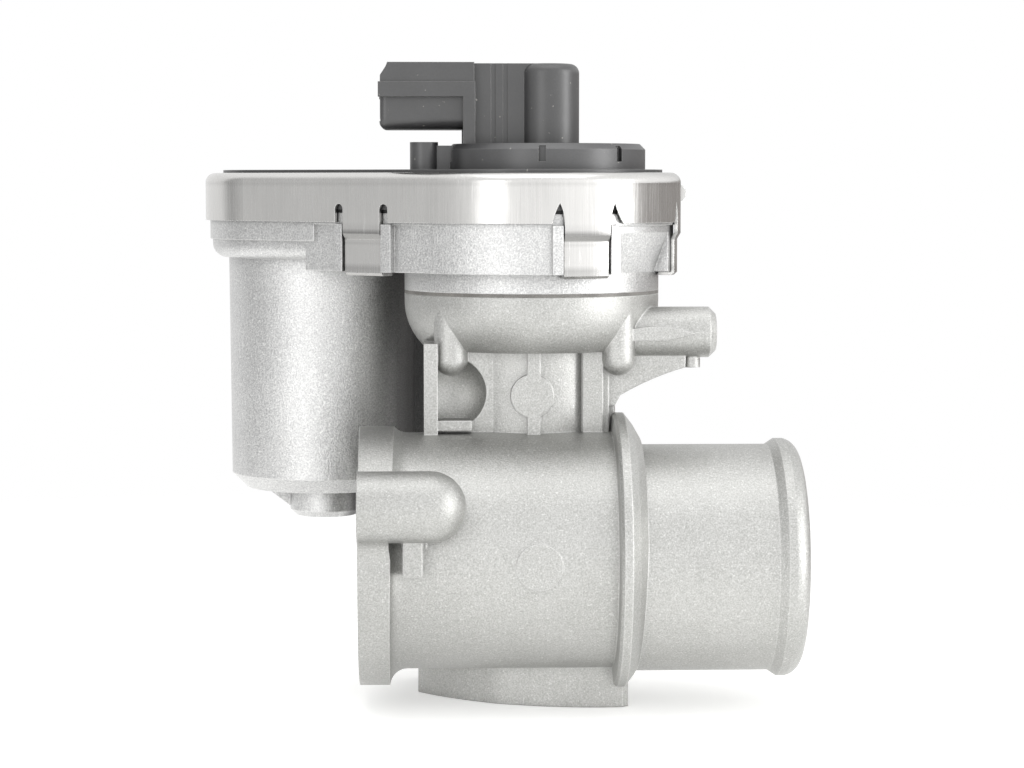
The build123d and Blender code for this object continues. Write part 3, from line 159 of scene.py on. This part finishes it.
def axis_distance(tree, place, centre=(0.0, 0.0, 0.0)):
    """Distance in metres of a point from the upright axis through a centre: the height is left out of it."""
    out = node(tree, "ShaderNodeVectorMath", {0: place, 1: centre}, operation="SUBTRACT").outputs[0]
    out = node(tree, "ShaderNodeVectorMath", {0: out, 1: (1, 1, 0)}, operation="MULTIPLY").outputs[0]
    return node(tree, "ShaderNodeVectorMath", {0: out}, operation="LENGTH").outputs["Value"]


def levels(tree, value, stops):
    """Grey level read from a list of (value, level) pairs, in straight lines between them."""
    low, high = stops[0][0], stops[-1][0]
    ramp = node(tree, "ShaderNodeValToRGB", {0: ranged(tree, value, low, high)})
    marks = ramp.color_ramp.elements
    while len(marks) < len(stops):
        marks.new(0.5)
    for mark, (at, level) in zip(marks, stops):
        mark.position = (at - low) / (high - low)
        mark.color = grey(level)
    return ramp.outputs["Color"]


def along_axis(axis, stops):
    def shade(tree, place):
        distance = node(tree, "ShaderNodeSeparateXYZ", {0: place}).outputs[axis]
        return levels(tree, sums(tree, "DIVIDE", distance, MM), stops)

    return shade


print("tone by place: bearing, axis_distance, along_axis")

# %% [markdown]
# ## One finish for every material
#
# A finish is put together in this order: the drift and the grain of the process, worn edges with a painted
# highlight, painted glints on pits, scuffs, painted shade by place, machined faces, and last painted shade in
# corners and the dust.
# What all finishes share has a name here. Sizes are millimetres. A span is the stretch of a noise, which runs from
# 0 to 1 about a half, over which a mark comes in: the higher the span lies, the rarer the marks.

# %% The finish
DRIFT_SPAN, GRAIN_SPAN, ROUGH_SPAN = (0.32, 0.68), (0.3, 0.7), (0.25, 0.75)
EDGE_SPAN = (0.995, 0.86)  # how far the rounded normal agrees with the true one: on a flat face, on a worn edge
SKY_SPAN = (0.2, 0.9)  # how much of the surroundings is open: in a dark corner, on a clear face
PIT_SIZE, PIT_SPAN = 0.45, (0.68, 0.78)
SCRATCH_SIZE, SCRATCH_STRETCH, SCRATCH_SPAN = 0.5, (1, 1, 14), (0.66, 0.74)
SCUFF_SIZE, SCUFF_SPAN = 13.0, (0.52, 0.62)
CUTTER_SIZE, CUTTER_STRETCH, CUTTER_SPAN = 0.5, (1, 24, 1), (0.35, 0.65)
CUTTER_GRAIN = 0.15  # what is left of the grain's height where the skin was machined off
DUST_SIZE, DUST_SPAN, DUST_TONE = 0.9, (0.76, 0.8), "#b9b6ae"


def finish(name, dark, light, metallic, roughness, drift=9.0, drift_tone=0.5, grain=0.4, stretch=(1, 1, 1),
           grain_tone=0.3, depth=0.01, swell=0.0, wave=2.0, edge=0.35, edge_light=0.5, rim=None, corner=0.0,
           reach=8.0, dust=0.0, sparkle=0.0, scuffs=0.0, shade=None, cut=None, specular=None, ior=None):
    """A material that drifts between two tones, with grain in tone, roughness and height, and round edges lightened
    as wear and as a painted highlight.

    `drift`, `grain`, `depth`, `swell`, `wave` and `edge` are millimetres: how far apart the patches of tone are,
    how wide and deep the grain is, how deep and long the slow swell of the surface is, and the radius of an edge.
    `drift_tone` and `grain_tone` say how much of the way between the two tones the patches and the grain take.
    `rim` is the colour of worn edges with their painted highlight, of the painted glints on pits and of scuffs,
    where it isn't the light tone.
    `corner` is how much painted shade darkens corners and gaps narrower than `reach` millimetres, and `dust` is how
    white the specks of dust on it are. `sparkle` is how bright the painted glints on single pits are, and `scuffs`
    how bright the short upright scratches from handling are. `shade` gives a level of painted shade by place, from
    the tree and the coordinates, and `cut` gives 1 where the skin was machined off, which shows milled lines and
    little grain.
    """
    material = bpy.data.materials.new(name)
    material.use_nodes = True
    tree = material.node_tree
    tree.nodes.clear()
    place = node(tree, "ShaderNodeTexCoord").outputs["Object"]
    patches = ranged(tree, noise(tree, place, drift), *DRIFT_SPAN, 0.5 - drift_tone / 2, 0.5 + drift_tone / 2)
    grains = noise(tree, place, grain, detail=2.0, stretch=stretch)
    speck = ranged(tree, grains, *GRAIN_SPAN, -grain_tone, grain_tone)
    tone = sums(tree, "ADD", patches, speck)
    colour = mixed(tree, tone, linear(dark), linear(light))
    worn = node(tree, "ShaderNodeBevel", {"Radius": edge * MM}, samples=4).outputs[0]
    true = node(tree, "ShaderNodeNewGeometry").outputs["Normal"]
    same = node(tree, "ShaderNodeVectorMath", {0: worn, 1: true}, operation="DOT_PRODUCT").outputs["Value"]
    # Painted highlight, partly edge wear: round edges are lightened towards the rim colour.
    edges = ranged(tree, same, *EDGE_SPAN, 0.0, edge_light)
    bright = linear(rim or light)
    colour = mixed(tree, edges, colour, bright)
    # Painted glints: single pits are lightened towards the rim colour.
    if sparkle:
        pits = ranged(tree, noise(tree, place, PIT_SIZE, detail=0.0), *PIT_SPAN, 0.0, sparkle)
        colour = mixed(tree, pits, colour, bright)
    if scuffs:
        lines = noise(tree, place, SCRATCH_SIZE, detail=1.0, stretch=SCRATCH_STRETCH)
        where = ranged(tree, noise(tree, place, SCUFF_SIZE, detail=1.0), *SCUFF_SPAN, 0.0, scuffs)
        marks = sums(tree, "MULTIPLY", ranged(tree, lines, *SCRATCH_SPAN), where)
        colour = mixed(tree, marks, colour, bright)
    if shade:
        colour = mixed(tree, 1.0, colour, shade(tree, place), "MULTIPLY")
    if cut:
        faced = cut(tree, place)
        lines = noise(tree, place, CUTTER_SIZE, detail=1.0, stretch=CUTTER_STRETCH)
        milled = mixed(tree, ranged(tree, lines, *CUTTER_SPAN), linear(dark), linear(light))
        colour = mixed(tree, faced, colour, milled)
        grains = sums(tree, "MULTIPLY", grains, ranged(tree, faced, 0.0, 1.0, 1.0, CUTTER_GRAIN))
    # Painted shade: corners and gaps are darkened by how little of the surroundings is open.
    if corner:
        open_sky = node(tree, "ShaderNodeAmbientOcclusion", {"Distance": reach * MM}, samples=6).outputs["AO"]
        colour = mixed(tree, 1.0, colour, ranged(tree, open_sky, *SKY_SPAN, 1 - corner, 1.0), "MULTIPLY")
    if dust:
        specks = ranged(tree, noise(tree, place, DUST_SIZE, detail=1.0), *DUST_SPAN, 0.0, dust)
        colour = mixed(tree, specks, colour, linear(DUST_TONE))
    height = node(tree, "ShaderNodeBump", {"Height": grains, "Distance": depth * MM, "Normal": worn}).outputs[0]
    if swell:
        slow = noise(tree, place, wave, detail=1.0)
        height = node(tree, "ShaderNodeBump", {"Height": slow, "Distance": swell * MM, "Normal": height}).outputs[0]
    rough = ranged(tree, grains, *ROUGH_SPAN, *roughness)
    shader = node(tree, "ShaderNodeBsdfPrincipled", {
        "Base Color": colour, "Metallic": metallic, "Roughness": rough, "Normal": height})
    if ior:
        shader.inputs["IOR"].default_value = ior
    if specular:
        shader.inputs["Specular IOR Level"].default_value = specular
    node(tree, "ShaderNodeOutputMaterial", {"Surface": shader.outputs[0]})
    return material


def dress(material, *names):
    """Gives one finish to the named pieces of the frame."""
    for name in names:
        nodes[name].data.materials.clear()
        nodes[name].data.materials.append(material)
    print(material.name, "on", ", ".join(names))


# %% [markdown]
# ## Die-cast aluminium
#
# The duct and the actuator housing are pressure die castings, blasted with fine grit to take the release marks
# off. Blasting leaves a bright, matt, faintly sparkling skin: each pit is a small mirror that points its own way.
# So the metal is a full metal, its roughness sits near a half, the grain is in tone, roughness and height, and
# single pits get a painted glint.
# The grit's pits are about 0.1 mm, and are drawn at about 0.35 mm so that they show at this distance.
#
# Some places differ. Corners and gaps are darkened as painted shade, and the side of the can that faces the tower
# gets a
# painted shadow, darkest deep in the gap: that side is picked out by compass angle about the motor's axis, and by
# distance from it. And the flange face, the spigot's end and the inlet face were milled flat, so they show a
# cutter's lines.

# %% Painted shadow on the can's flank, and machined faces
motor_axis = [(low + high) / 2 for low, high in zip(*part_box("armature"))]
can_reach = 25.5 * MM
face_skin = 0.1 * MM
# Compass degrees, level: painted shadow on the can's flank towards the tower
painted_gap_shade = [(-180, 1.0), (28, 1.0), (40, 0.55), (51, 0.2), (62, 0.09), (92, 0.09), (125, 1.0), (180, 1.0)]


def can_gap_shade(tree, place):
    """Level 1 everywhere but on the can's flank towards the tower, where it falls as a painted shadow in the gap."""
    near = ranged(tree, axis_distance(tree, place, motor_axis), can_reach, can_reach + MM, 1.0, 0.0)
    return mixed(tree, near, grey(1), levels(tree, bearing(tree, place, motor_axis), painted_gap_shade))


def machined_faces(tree, place):
    """1 on the flange face, the spigot's end and the inlet face, which are within 0.1 mm of the body's box."""
    low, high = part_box("valve_body")
    axes = node(tree, "ShaderNodeSeparateXYZ", {0: place}).outputs
    flange = ranged(tree, axes["X"], low[0] + face_skin, low[0] + 2 * face_skin, 1.0, 0.0)
    mouth = ranged(tree, axes["X"], high[0] - 2 * face_skin, high[0] - face_skin)
    inlet = ranged(tree, axes["Z"], low[2] + face_skin, low[2] + 2 * face_skin, 1.0, 0.0)
    return sums(tree, "MAXIMUM", flange, sums(tree, "MAXIMUM", mouth, inlet))


print("motor axis at", [round(c / MM, 2) for c in motor_axis[:2]], "mm")

# %% [markdown]
# ## The two castings
#
# Duct and housing come from two moulds and two batches, and the photograph shows the housing a shade brighter and
# coarser. So they get the same finish with different numbers. The flange end of the duct is also painted a little
# darker, as shade: a list of places along the duct gives it that.

# %% Cast pieces
# Millimetres along the duct, level: painted shade on the flange end
painted_flange_shade = [(-10, 0.93), (9, 0.93), (26, 1.0), (110, 1.0)]
body_casting = finish("blasted_die_cast_aluminium_duct", "#a6a6a3", "#cacac8", 1.0, (0.38, 0.54),
                      drift=18, drift_tone=0.2, grain=0.34, grain_tone=0.5, depth=0.08, swell=0.03, edge=0.5,
                      edge_light=0.7, rim="#ececea", corner=0.2, reach=3, sparkle=0.35, scuffs=0.25,
                      shade=along_axis("X", painted_flange_shade), cut=machined_faces)
housing_casting = finish("blasted_die_cast_aluminium_housing", "#b8b8b8", "#dededd", 1.0, (0.3, 0.46),
                         drift=14, drift_tone=0.2, grain=0.36, grain_tone=0.65, depth=0.11, swell=0.04, edge=0.4,
                         edge_light=0.6, rim="#f4f4f2", corner=0.5, reach=5, sparkle=0.6, scuffs=0.6,
                         shade=can_gap_shade)
dress(body_casting, "valve_body")
dress(housing_casting, "actuator_housing")

# %% [markdown]
# ## Stainless clamp ring
#
# The ring is stamped from rolled stainless sheet and lightly brushed up and down. Brushed metal is a field of
# long fine scratches: smooth along the stroke, rough across it. A noise that is stretched 60 times along Z gives
# those scratches to the roughness and to the height, and the reflections smear sideways by themselves. Along the
# bends of the tabs and in a line below the top bend the metal is painted darker as shade: those are levels by
# height.

# %% The ring
# Millimetres of height, level: painted shade along the bends of the tabs and below the top bend
painted_fold_shade = [(64.0, 0.8), (65.4, 0.72), (66.6, 1.0), (70.6, 1.0), (71.2, 0.9), (71.8, 1.0), (72.2, 0.5),
              (73.6, 0.46), (74.6, 0.9), (76.2, 1.0), (84.2, 1.0), (85.0, 0.9), (85.7, 1.0)]

ring_sheet = finish("brushed_stainless_sheet", "#c9c8c6", "#d6d5d3", 1.0, (0.19, 0.3),
                    drift=16, drift_tone=0.3, grain=0.25, stretch=(1, 1, 60), grain_tone=0.25, depth=0.001,
                    swell=0.1, wave=8, edge=0.25, rim="#eeeeec", corner=0.6, reach=2.5, scuffs=0.5,
                    shade=along_axis("Z", painted_fold_shade))
dress(ring_sheet, "clamp_ring")

# %% [markdown]
# ## Moulded plastics
#
# The cover is glass-filled polyester, moulded charcoal grey with a satin face and specks of pale dust, and painted
# shade in its corners. The gears are acetal and glass-filled nylon. Plastic is a dielectric, so its highlight is
# white and weak, its colour is in the body of it, and its grain is the spark-eroded face of the mould. The dome and
# the plug are painted darker than the plate under them, as shade, so the cover also has its level by height.

# %% Plastic pieces
# Millimetres of height, level: painted shade on the dome and the plug, above the plate
painted_cover_shade = [(60.0, 1.0), (93.4, 1.0), (94.6, 0.66), (120.0, 0.66)]

cover_plastic = finish("moulded_charcoal_polyester", "#303031", "#3f3f40", 0.0, (0.34, 0.46),
                       drift=7, grain=0.3, grain_tone=0.4, depth=0.012, edge=0.3, edge_light=0.9, rim="#6a6a69",
                       corner=0.9, reach=3, dust=0.6, shade=along_axis("Z", painted_cover_shade), specular=0.9, ior=1.57)
acetal = finish("moulded_natural_acetal", "#d9d5c8", "#e6e2d6", 0.0, (0.3, 0.42),
                drift=6, grain=0.3, grain_tone=0.1, depth=0.004, edge=0.15, ior=1.48)
gear_nylon = finish("moulded_glass_filled_nylon", "#2e2e30", "#3d3d40", 0.0, (0.35, 0.55),
                    drift=5, grain=0.25, stretch=(4, 1, 1), grain_tone=0.4, depth=0.006, edge=0.15, ior=1.53)
card_plastic = finish("moulded_black_polyamide", "#1d1d1e", "#282829", 0.0, (0.35, 0.5),
                      drift=5, grain=0.3, grain_tone=0.2, depth=0.005, edge=0.15, ior=1.53)
dress(cover_plastic, "cover")
dress(acetal, "intermediate_gear", "thrust_washer")
dress(gear_nylon, "output_gear")
dress(card_plastic, "brush_card")

# %% [markdown]
# ## Seals
#
# The gasket is a coated steel sheet with a bare cut edge, the cover seal is nitrile rubber and the stem seal a
# filled polymer. All are matt, darker than anything round them, and show as thin lines in the joints.

# %% Seals
coated_gasket = finish("coated_steel_gasket", "#5f5d5a", "#8d8b87", 0.3, (0.5, 0.65),
                       drift=6, grain=0.3, depth=0.01, edge=0.1, ior=1.5)
nitrile = finish("moulded_nitrile_rubber", "#161616", "#202020", 0.0, (0.5, 0.65),
                 drift=5, grain=0.25, depth=0.006, edge=0.1, ior=1.52)
filled_polymer = finish("filled_seal_polymer", "#4a3626", "#5c4632", 0.0, (0.35, 0.5),
                        drift=4, grain=0.2, depth=0.004, edge=0.1, ior=1.4)
dress(coated_gasket, "body_gasket")
dress(nitrile, "cover_seal")
dress(filled_polymer, "stem_seal")

# %% [markdown]
# ## Turned, ground and sprung steels
#
# The valve, its seat and the shafts are turned and ground about their own axes, so their grain runs round them:
# short along the axis and very long around it. The springs and clips are dark from hardening, and the screws and
# the motor can are bright zinc.

# %% Steel pieces
turned_steel = finish("turned_heat_resisting_steel", "#8f8c88", "#aaa7a2", 1.0, (0.25, 0.42),
                      drift=6, grain=0.2, stretch=(12, 12, 1), grain_tone=0.3, depth=0.004, edge=0.15)
ground_steel = finish("ground_bearing_steel", "#9d9d9f", "#b6b6b8", 1.0, (0.14, 0.26),
                      drift=7, grain=0.15, stretch=(12, 12, 1), grain_tone=0.2, depth=0.002, edge=0.12)
spring_steel = finish("hardened_spring_steel", "#5e5e60", "#7a7a7b", 1.0, (0.25, 0.4),
                      drift=3, grain=0.2, grain_tone=0.3, depth=0.004, edge=0.1)
zinc_plate = finish("bright_zinc_plated_steel", "#a9abab", "#c4c6c4", 1.0, (0.22, 0.38),
                    drift=5, grain=0.35, grain_tone=0.25, depth=0.004, edge=0.15)
dress(turned_steel, "seat_ring", "valve_disc", "valve_stem")
dress(ground_steel, "guide_sleeve", "cross_pin", "cam_rollers", "intermediate_pin", "motor_shaft")
dress(spring_steel, "return_spring", "sleeve_clip", "pin_clip", "wave_washer")
dress(zinc_plate, "motor_case", "motor_plate", "motor_screws", "housing_screws")

# %% [markdown]
# ## Bronze, copper, iron and ferrite
#
# Sintered bronze is pressed powder, full of oil-filled pores. The commutator and the terminals are drawn copper.
# The armature core is a pile of stamped sheets 0.5 mm thick, so its grain is layers along Z. Ferrite magnets are
# fired like pottery and look it.

# %% Motor and bearing metals
bronze = finish("sintered_bronze", "#8a6c41", "#ad8a58", 1.0, (0.35, 0.6),
                drift=3, grain=0.25, grain_tone=0.6, depth=0.02, edge=0.12)
copper = finish("drawn_copper", "#b4724c", "#cf8d65", 1.0, (0.2, 0.35),
                drift=4, grain=0.2, stretch=(1, 1, 10), grain_tone=0.25, depth=0.003, edge=0.1)
core_sheets = finish("stacked_electrical_steel", "#55565a", "#7e7f83", 1.0, (0.35, 0.55),
                     drift=6, grain=0.5, stretch=(60, 60, 1), grain_tone=0.7, depth=0.03, edge=0.1)
ferrite = finish("fired_ferrite", "#2a2a2d", "#3c3c40", 0.15, (0.5, 0.7),
                 drift=4, grain=0.3, grain_tone=0.4, depth=0.012, edge=0.2, ior=1.8)
carbon = finish("pressed_carbon", "#1e1e1f", "#303032", 0.2, (0.45, 0.6),
                drift=2, grain=0.2, grain_tone=0.5, depth=0.01, edge=0.1, ior=1.7)
laminate = finish("green_glass_laminate", "#14482a", "#1d5f38", 0.0, (0.2, 0.35),
                  drift=2, grain=0.4, stretch=(1, 8, 8), grain_tone=0.35, depth=0.003, edge=0.08, ior=1.55)
dress(bronze, "stem_bush", "motor_pinion", "motor_bearings")
dress(copper, "commutator", "motor_contacts", "connector_terminals")
dress(core_sheets, "armature")
dress(ferrite, "motor_magnets", "sensor_magnet")
dress(carbon, "brushes")
dress(laminate, "sensor_board")

# %% [markdown]
# ## A dark rib in the shaded gap behind the can
#
# The gap between the can and the tower lies in shade. A low rib down the can's flank, behind the tower, stands in
# it and takes the housing's painted shadow, so that it shows as the dark edge of the can. It could be modelled as a
# block with rounded edges, but a rib of a drafted casting has no flat side: so it is a bump of the can's own
# cylinder, a cosine squared across and a soft rise at both ends, and its edges sink into the can.

# %% Pieces from points
def grid_quads(rows, columns):
    """Quads that join a grid of points: each point with the next in its row and the two below them."""
    first = (np.arange(rows - 1)[:, None] * columns + np.arange(columns - 1)[None, :]).reshape(-1, 1)
    return first + np.array([0, 1, columns + 1, columns])


def surface(name, points, quads, material):
    """A smooth piece from an array of points in metres and the quads that join them."""
    mesh = bpy.data.meshes.new(name)
    mesh.from_pydata(points.reshape(-1, 3).tolist(), [], quads.tolist())
    mesh.polygons.foreach_set("use_smooth", np.ones(len(quads), dtype=bool))
    mesh.materials.append(material)
    piece = bpy.data.objects.new(name, mesh)
    bpy.context.scene.collection.objects.link(piece)
    print(name, len(quads), "quads")
    return piece


# %% [markdown]
# ## The rib's own shape
#
# The rib is worked out in millimetres about the motor's axis and then put in place. Its foot is sunk 0.4 mm into
# the can, so that no seam shows, and a wall of 1 mm is added to its inside to make it a closed piece.

# %% The rib
def can_rib(bearing_deg, half_width_deg, height, low_z, high_z, top_r, foot_r, sunk=0.4, end_share=0.08,
            rows=72, columns=28):
    """Points of a rib on a drafted cylinder about the motor's axis.

    The radius is the can's own, which goes in a straight line from foot_r to top_r with height, less `sunk`, plus
    `height` times the squared cosine of the place across the rib, times a smooth step over `end_share` of its
    length at each end.
    """
    across = np.linspace(-1, 1, columns)[None, :]
    up = np.linspace(0, 1, rows)[:, None]
    turn = np.radians(bearing_deg + half_width_deg * across)
    rise = np.clip(np.minimum(up, 1 - up) / end_share, 0, 1)
    bump = np.cos(across * np.pi / 2) ** 2 * rise * rise * (3 - 2 * rise)
    radius = foot_r + (top_r - foot_r) * up - sunk + height * bump
    z = low_z + (high_z - low_z) * up + 0 * across
    east, south = radius * np.sin(turn), radius * np.cos(turn)
    return np.stack([motor_axis[0] / MM + east, motor_axis[1] / MM - south, z], axis=-1) * MM


# A rib put in the shaded gap: the housing's painted shadow makes it the dark edge of the can.
rib_points = can_rib(bearing_deg=84, half_width_deg=15, height=3.2, low_z=14.0, high_z=62.0, top_r=23.8,
                     foot_r=23.45)
gap_shade_rib = surface("can_shade_rib", rib_points, grid_quads(*rib_points.shape[:2]), housing_casting)
wall = gap_shade_rib.modifiers.new("wall", "SOLIDIFY")
wall.thickness = 1.0 * MM
wall.offset = -1.0
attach(gap_shade_rib, "valve")

# %% [markdown]
# ## Windings on the armature
#
# Each of the five teeth of the armature carries a coil of enamelled wire that fills half of the slot on either
# side of it. A bundle of a few dozen wires reads as one rope with ridges along it. So a coil is a closed tube: its
# path is a rounded rectangle wrapped on a cylinder about the motor's axis, and its section is a circle with a
# ripple that turns slowly as it goes round, as wound wires do.

# %% The coils
def signed_power(value, power):
    """The size of a value raised to a power, with the value's own sign."""
    return np.sign(value) * np.abs(value) ** power


def tooth_coils(teeth, radius, half_turn_deg, low_z, high_z, rope_r, ripple=0.05, ridges=7, twists=3, around=20,
                along=144):
    """Points of the coils, one closed tube per tooth, in millimetres about the motor's axis.

    The path's turn and height are the signed square root of the cosine and the signed fourth root of the sine of
    the way round, so it has straight sides and round corners. The section is a circle of radius rope_r across the
    path's own direction, with `ridges` ridges of `ripple` times that radius, which twist `twists` times. The
    first tooth stands half a step round from the X axis.
    """
    way = np.linspace(0, 2 * np.pi, along, endpoint=False)
    turn = np.radians(half_turn_deg) * signed_power(np.cos(way), 0.5)
    height = (low_z + high_z) / 2 + (high_z - low_z) / 2 * signed_power(np.sin(way), 0.25)
    path = np.stack([radius * np.sin(turn), -radius * np.cos(turn), height], axis=-1)
    ahead = np.roll(path, -1, axis=0) - np.roll(path, 1, axis=0)
    ahead /= np.linalg.norm(ahead, axis=1, keepdims=True)
    outward = path * [1, 1, 0] / radius
    outward -= ahead * np.sum(outward * ahead, axis=1, keepdims=True)
    outward /= np.linalg.norm(outward, axis=1, keepdims=True)
    beside = np.cross(outward, ahead)
    ring = np.linspace(0, 2 * np.pi, around, endpoint=False)[None, :, None]
    swell = 1 + ripple * np.cos(ridges * ring + twists * way[:, None, None])
    section = np.cos(ring) * outward[:, None, :] + np.sin(ring) * beside[:, None, :]
    coil = path[:, None, :] + rope_r * swell * section
    coils = []
    for tooth in range(teeth):
        lean = 2 * np.pi * (tooth + 0.5) / teeth + np.pi / 2
        spin = np.array([[np.cos(lean), np.sin(lean), 0], [-np.sin(lean), np.cos(lean), 0], [0, 0, 1]])
        coils.append(coil @ spin)
    return np.stack(coils)


def tube_quads(count, along, around):
    """Quads of tubes that close both round their section and along their path."""
    tube, row, column = np.meshgrid(np.arange(count), np.arange(along), np.arange(around), indexing="ij")

    def index(r, c):
        return (tube * along + r % along) * around + c % around

    corners = [index(row, column), index(row + 1, column), index(row + 1, column + 1), index(row, column + 1)]
    return np.stack(corners, axis=-1).reshape(-1, 4)


enamelled_wire = finish("enamelled_copper_wire", "#7c3f1e", "#a35c30", 1.0, (0.18, 0.3),
                        drift=3, grain=0.2, grain_tone=0.3, depth=0.004, edge=0.05, corner=0.5, reach=1.5)
core_low, core_high = [corner[2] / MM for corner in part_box("armature")]
overhang = 1.6
coil_points = tooth_coils(teeth=5, radius=9.8, half_turn_deg=28.7, low_z=core_low - overhang,
                          high_z=core_high + overhang, rope_r=1.15)
coil_points = (coil_points + [motor_axis[0] / MM, motor_axis[1] / MM, 0]) * MM
windings = surface("armature_windings", coil_points, tube_quads(*coil_points.shape[:3]), enamelled_wire)
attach(windings, "rotor")

# %% [markdown]
# ## A pale floor that fades into white
#
# The photograph is a catalogue cut-out on white. A sheet of pale film, lit a little from below like a light
# table, keeps the contact shadow and brightens the undersides. Further out the sheet dissolves into the white
# room, so that no horizon shows. The sheet is a grid of points on a plane, 0.1 mm below the object.

# %% Floor
floor_half = 1.6
floor_gap = 0.1 * MM
floor_z = solid_box[0][2] - floor_gap
fade_from, fade_to = 0.14, 0.42
paper_patch = 4.0
light_from_below = 0.42
points_a_side = 25
side = np.linspace(-floor_half, floor_half, points_a_side)
across, along = np.meshgrid(side, side)
floor_points = np.stack([across, along, np.full_like(across, floor_z)], axis=-1)

card = bpy.data.materials.new("pale_card")
card.use_nodes = True
tree = card.node_tree
tree.nodes.clear()
place = node(tree, "ShaderNodeTexCoord").outputs["Object"]
fade = ranged(tree, axis_distance(tree, place), fade_from, fade_to)
paper = mixed(tree, noise(tree, place, paper_patch), linear("#e0e0de"), linear("#e5e5e4"))
matt = node(tree, "ShaderNodeBsdfDiffuse", {"Color": paper}).outputs[0]
under = node(tree, "ShaderNodeEmission", {"Color": grey(1), "Strength": light_from_below}).outputs[0]
lit = node(tree, "ShaderNodeAddShader", {0: matt, 1: under}).outputs[0]
clear = node(tree, "ShaderNodeBsdfTransparent").outputs[0]
blend = node(tree, "ShaderNodeMixShader", {0: fade, 1: lit, 2: clear}).outputs[0]
node(tree, "ShaderNodeOutputMaterial", {"Surface": blend})
floor = surface("pale_floor", floor_points, grid_quads(*floor_points.shape[:2]), card)
print("floor at", round(floor_z / MM, 2), "mm")

# %% [markdown]
# ## Studio light
#
# Metal has no look of its own: it shows the room. Going round the motor can and the ring in the photograph and
# asking what each strip of metal mirrors gives the room by compass direction: a wide bright wall on the camera's
# side and to the right of it, a dim left side, greyer paper behind, and a low dark card from the right to the
# back, which shows only in the smooth ring. Those lists are the room here, in degrees and grey levels. Heights
# are the upward part of a direction, 0 at the horizon and 1 overhead. The camera itself sees plain white.

# %% World
world = bpy.data.worlds.new("studio")
bpy.context.scene.world = world
world.use_nodes = True
tree = world.node_tree
tree.nodes.clear()
room_strength = 1.4
compass = [(-180, 0.72), (-112, 0.72), (-105, 0.3), (-96, 0.33), (-82, 0.54), (-66, 0.58), (-50, 0.7),
           (-35, 0.8), (12, 0.92), (30, 1.02), (70, 1.02), (92, 0.98), (125, 0.88), (160, 0.6), (180, 0.6)]
ceiling, wall_top, ceiling_edge = 0.82, 0.45, 0.8
card_starts, card_ends = (76, 86), (176, 180)
card_low, card_high, card_blur = -0.26, 0.1, 0.05
card_tone = (0.25, 0.235, 0.225, 1)
toward = node(tree, "ShaderNodeTexCoord").outputs["Generated"]
upward = node(tree, "ShaderNodeSeparateXYZ", {0: toward}).outputs["Z"]
facing = bearing(tree, toward)
overhead = ranged(tree, upward, wall_top, ceiling_edge)
room = mixed(tree, overhead, levels(tree, facing, compass), grey(ceiling))
sides = sums(tree, "MULTIPLY", ranged(tree, facing, *card_starts), ranged(tree, facing, *card_ends, 1.0, 0.0))
strip = sums(tree, "MULTIPLY", ranged(tree, upward, card_low, card_low + card_blur),
             ranged(tree, upward, card_high - card_blur, card_high, 1.0, 0.0))
room = mixed(tree, sums(tree, "MULTIPLY", sides, strip), room, card_tone)
room = mixed(tree, 1.0, room, grey(room_strength), "MULTIPLY")
seen = node(tree, "ShaderNodeLightPath").outputs["Is Camera Ray"]
glow = node(tree, "ShaderNodeBackground", {"Color": mixed(tree, seen, room, grey(1)), "Strength": 1.0})
node(tree, "ShaderNodeOutputWorld", {"Surface": glow.outputs[0]})
print("room of", len(compass), "levels, ceiling", ceiling)

# %% [markdown]
# ## Three soft boxes
#
# The room gives the broad reflections. Three rectangular lamps add what it can't: the long highlight down the
# left of the can and the duct, a stronger one from the right, and light from above on ledges and on the cover.
# The camera doesn't see them.

# %% Lamps
lamps = {  # name: place, width and height in metres, power in watts
    "left_soft_box": ((-0.5, -0.85, 0.12), 0.34, 0.9, 1.4),
    "right_soft_box": ((0.88, -0.36, 0.14), 0.3, 0.8, 3.2),
    "top_soft_box": ((0.05, -0.15, 0.95), 0.9, 0.7, 2.0),
}


def soft_box(name, place, target, width, height, watts):
    """A rectangular lamp at `place` that faces `target`; all in metres."""
    data = bpy.data.lights.new(name, "AREA")
    data.shape = "RECTANGLE"
    data.size = width
    data.size_y = height
    data.energy = watts
    lamp = bpy.data.objects.new(name, data)
    lamp.location = place
    lamp.rotation_euler = (Vector(target) - Vector(place)).to_track_quat("-Z", "Y").to_euler()
    lamp.visible_camera = False
    bpy.context.scene.collection.objects.link(lamp)


middle = (Vector(solid_box[0]) + Vector(solid_box[1])) / 2
for name, (place, width, height, watts) in lamps.items():
    soft_box(name, place, middle, width, height, watts)
print("middle of the object:", [round(c / MM, 1) for c in middle])

# %% [markdown]
# ## Camera
#
# The photograph was taken from a little above and a little to the left of square. The lens is long, so upright
# edges stay upright. The place and the two angles were found by lining up the flange, the spigot and the ring.

# %% Camera
sensor_mm = 36.0
lens_mm = 91.4
camera_place = Vector((14.36, -600.8, 86.0)) * MM
turn_right = math.radians(2.0)
tilt_down = math.radians(4.5)
view = bpy.data.cameras.new("catalogue_camera")
view.sensor_width = sensor_mm
view.lens = lens_mm
view.clip_start = 0.01
camera = bpy.data.objects.new("catalogue_camera", view)
camera.location = camera_place
camera.rotation_euler = (math.radians(90) - tilt_down, 0, -turn_right)
bpy.context.scene.collection.objects.link(camera)
bpy.context.scene.camera = camera
bpy.context.scene.view_settings.view_transform = "Standard"
print("camera", [round(c, 4) for c in camera_place], "lens", lens_mm)
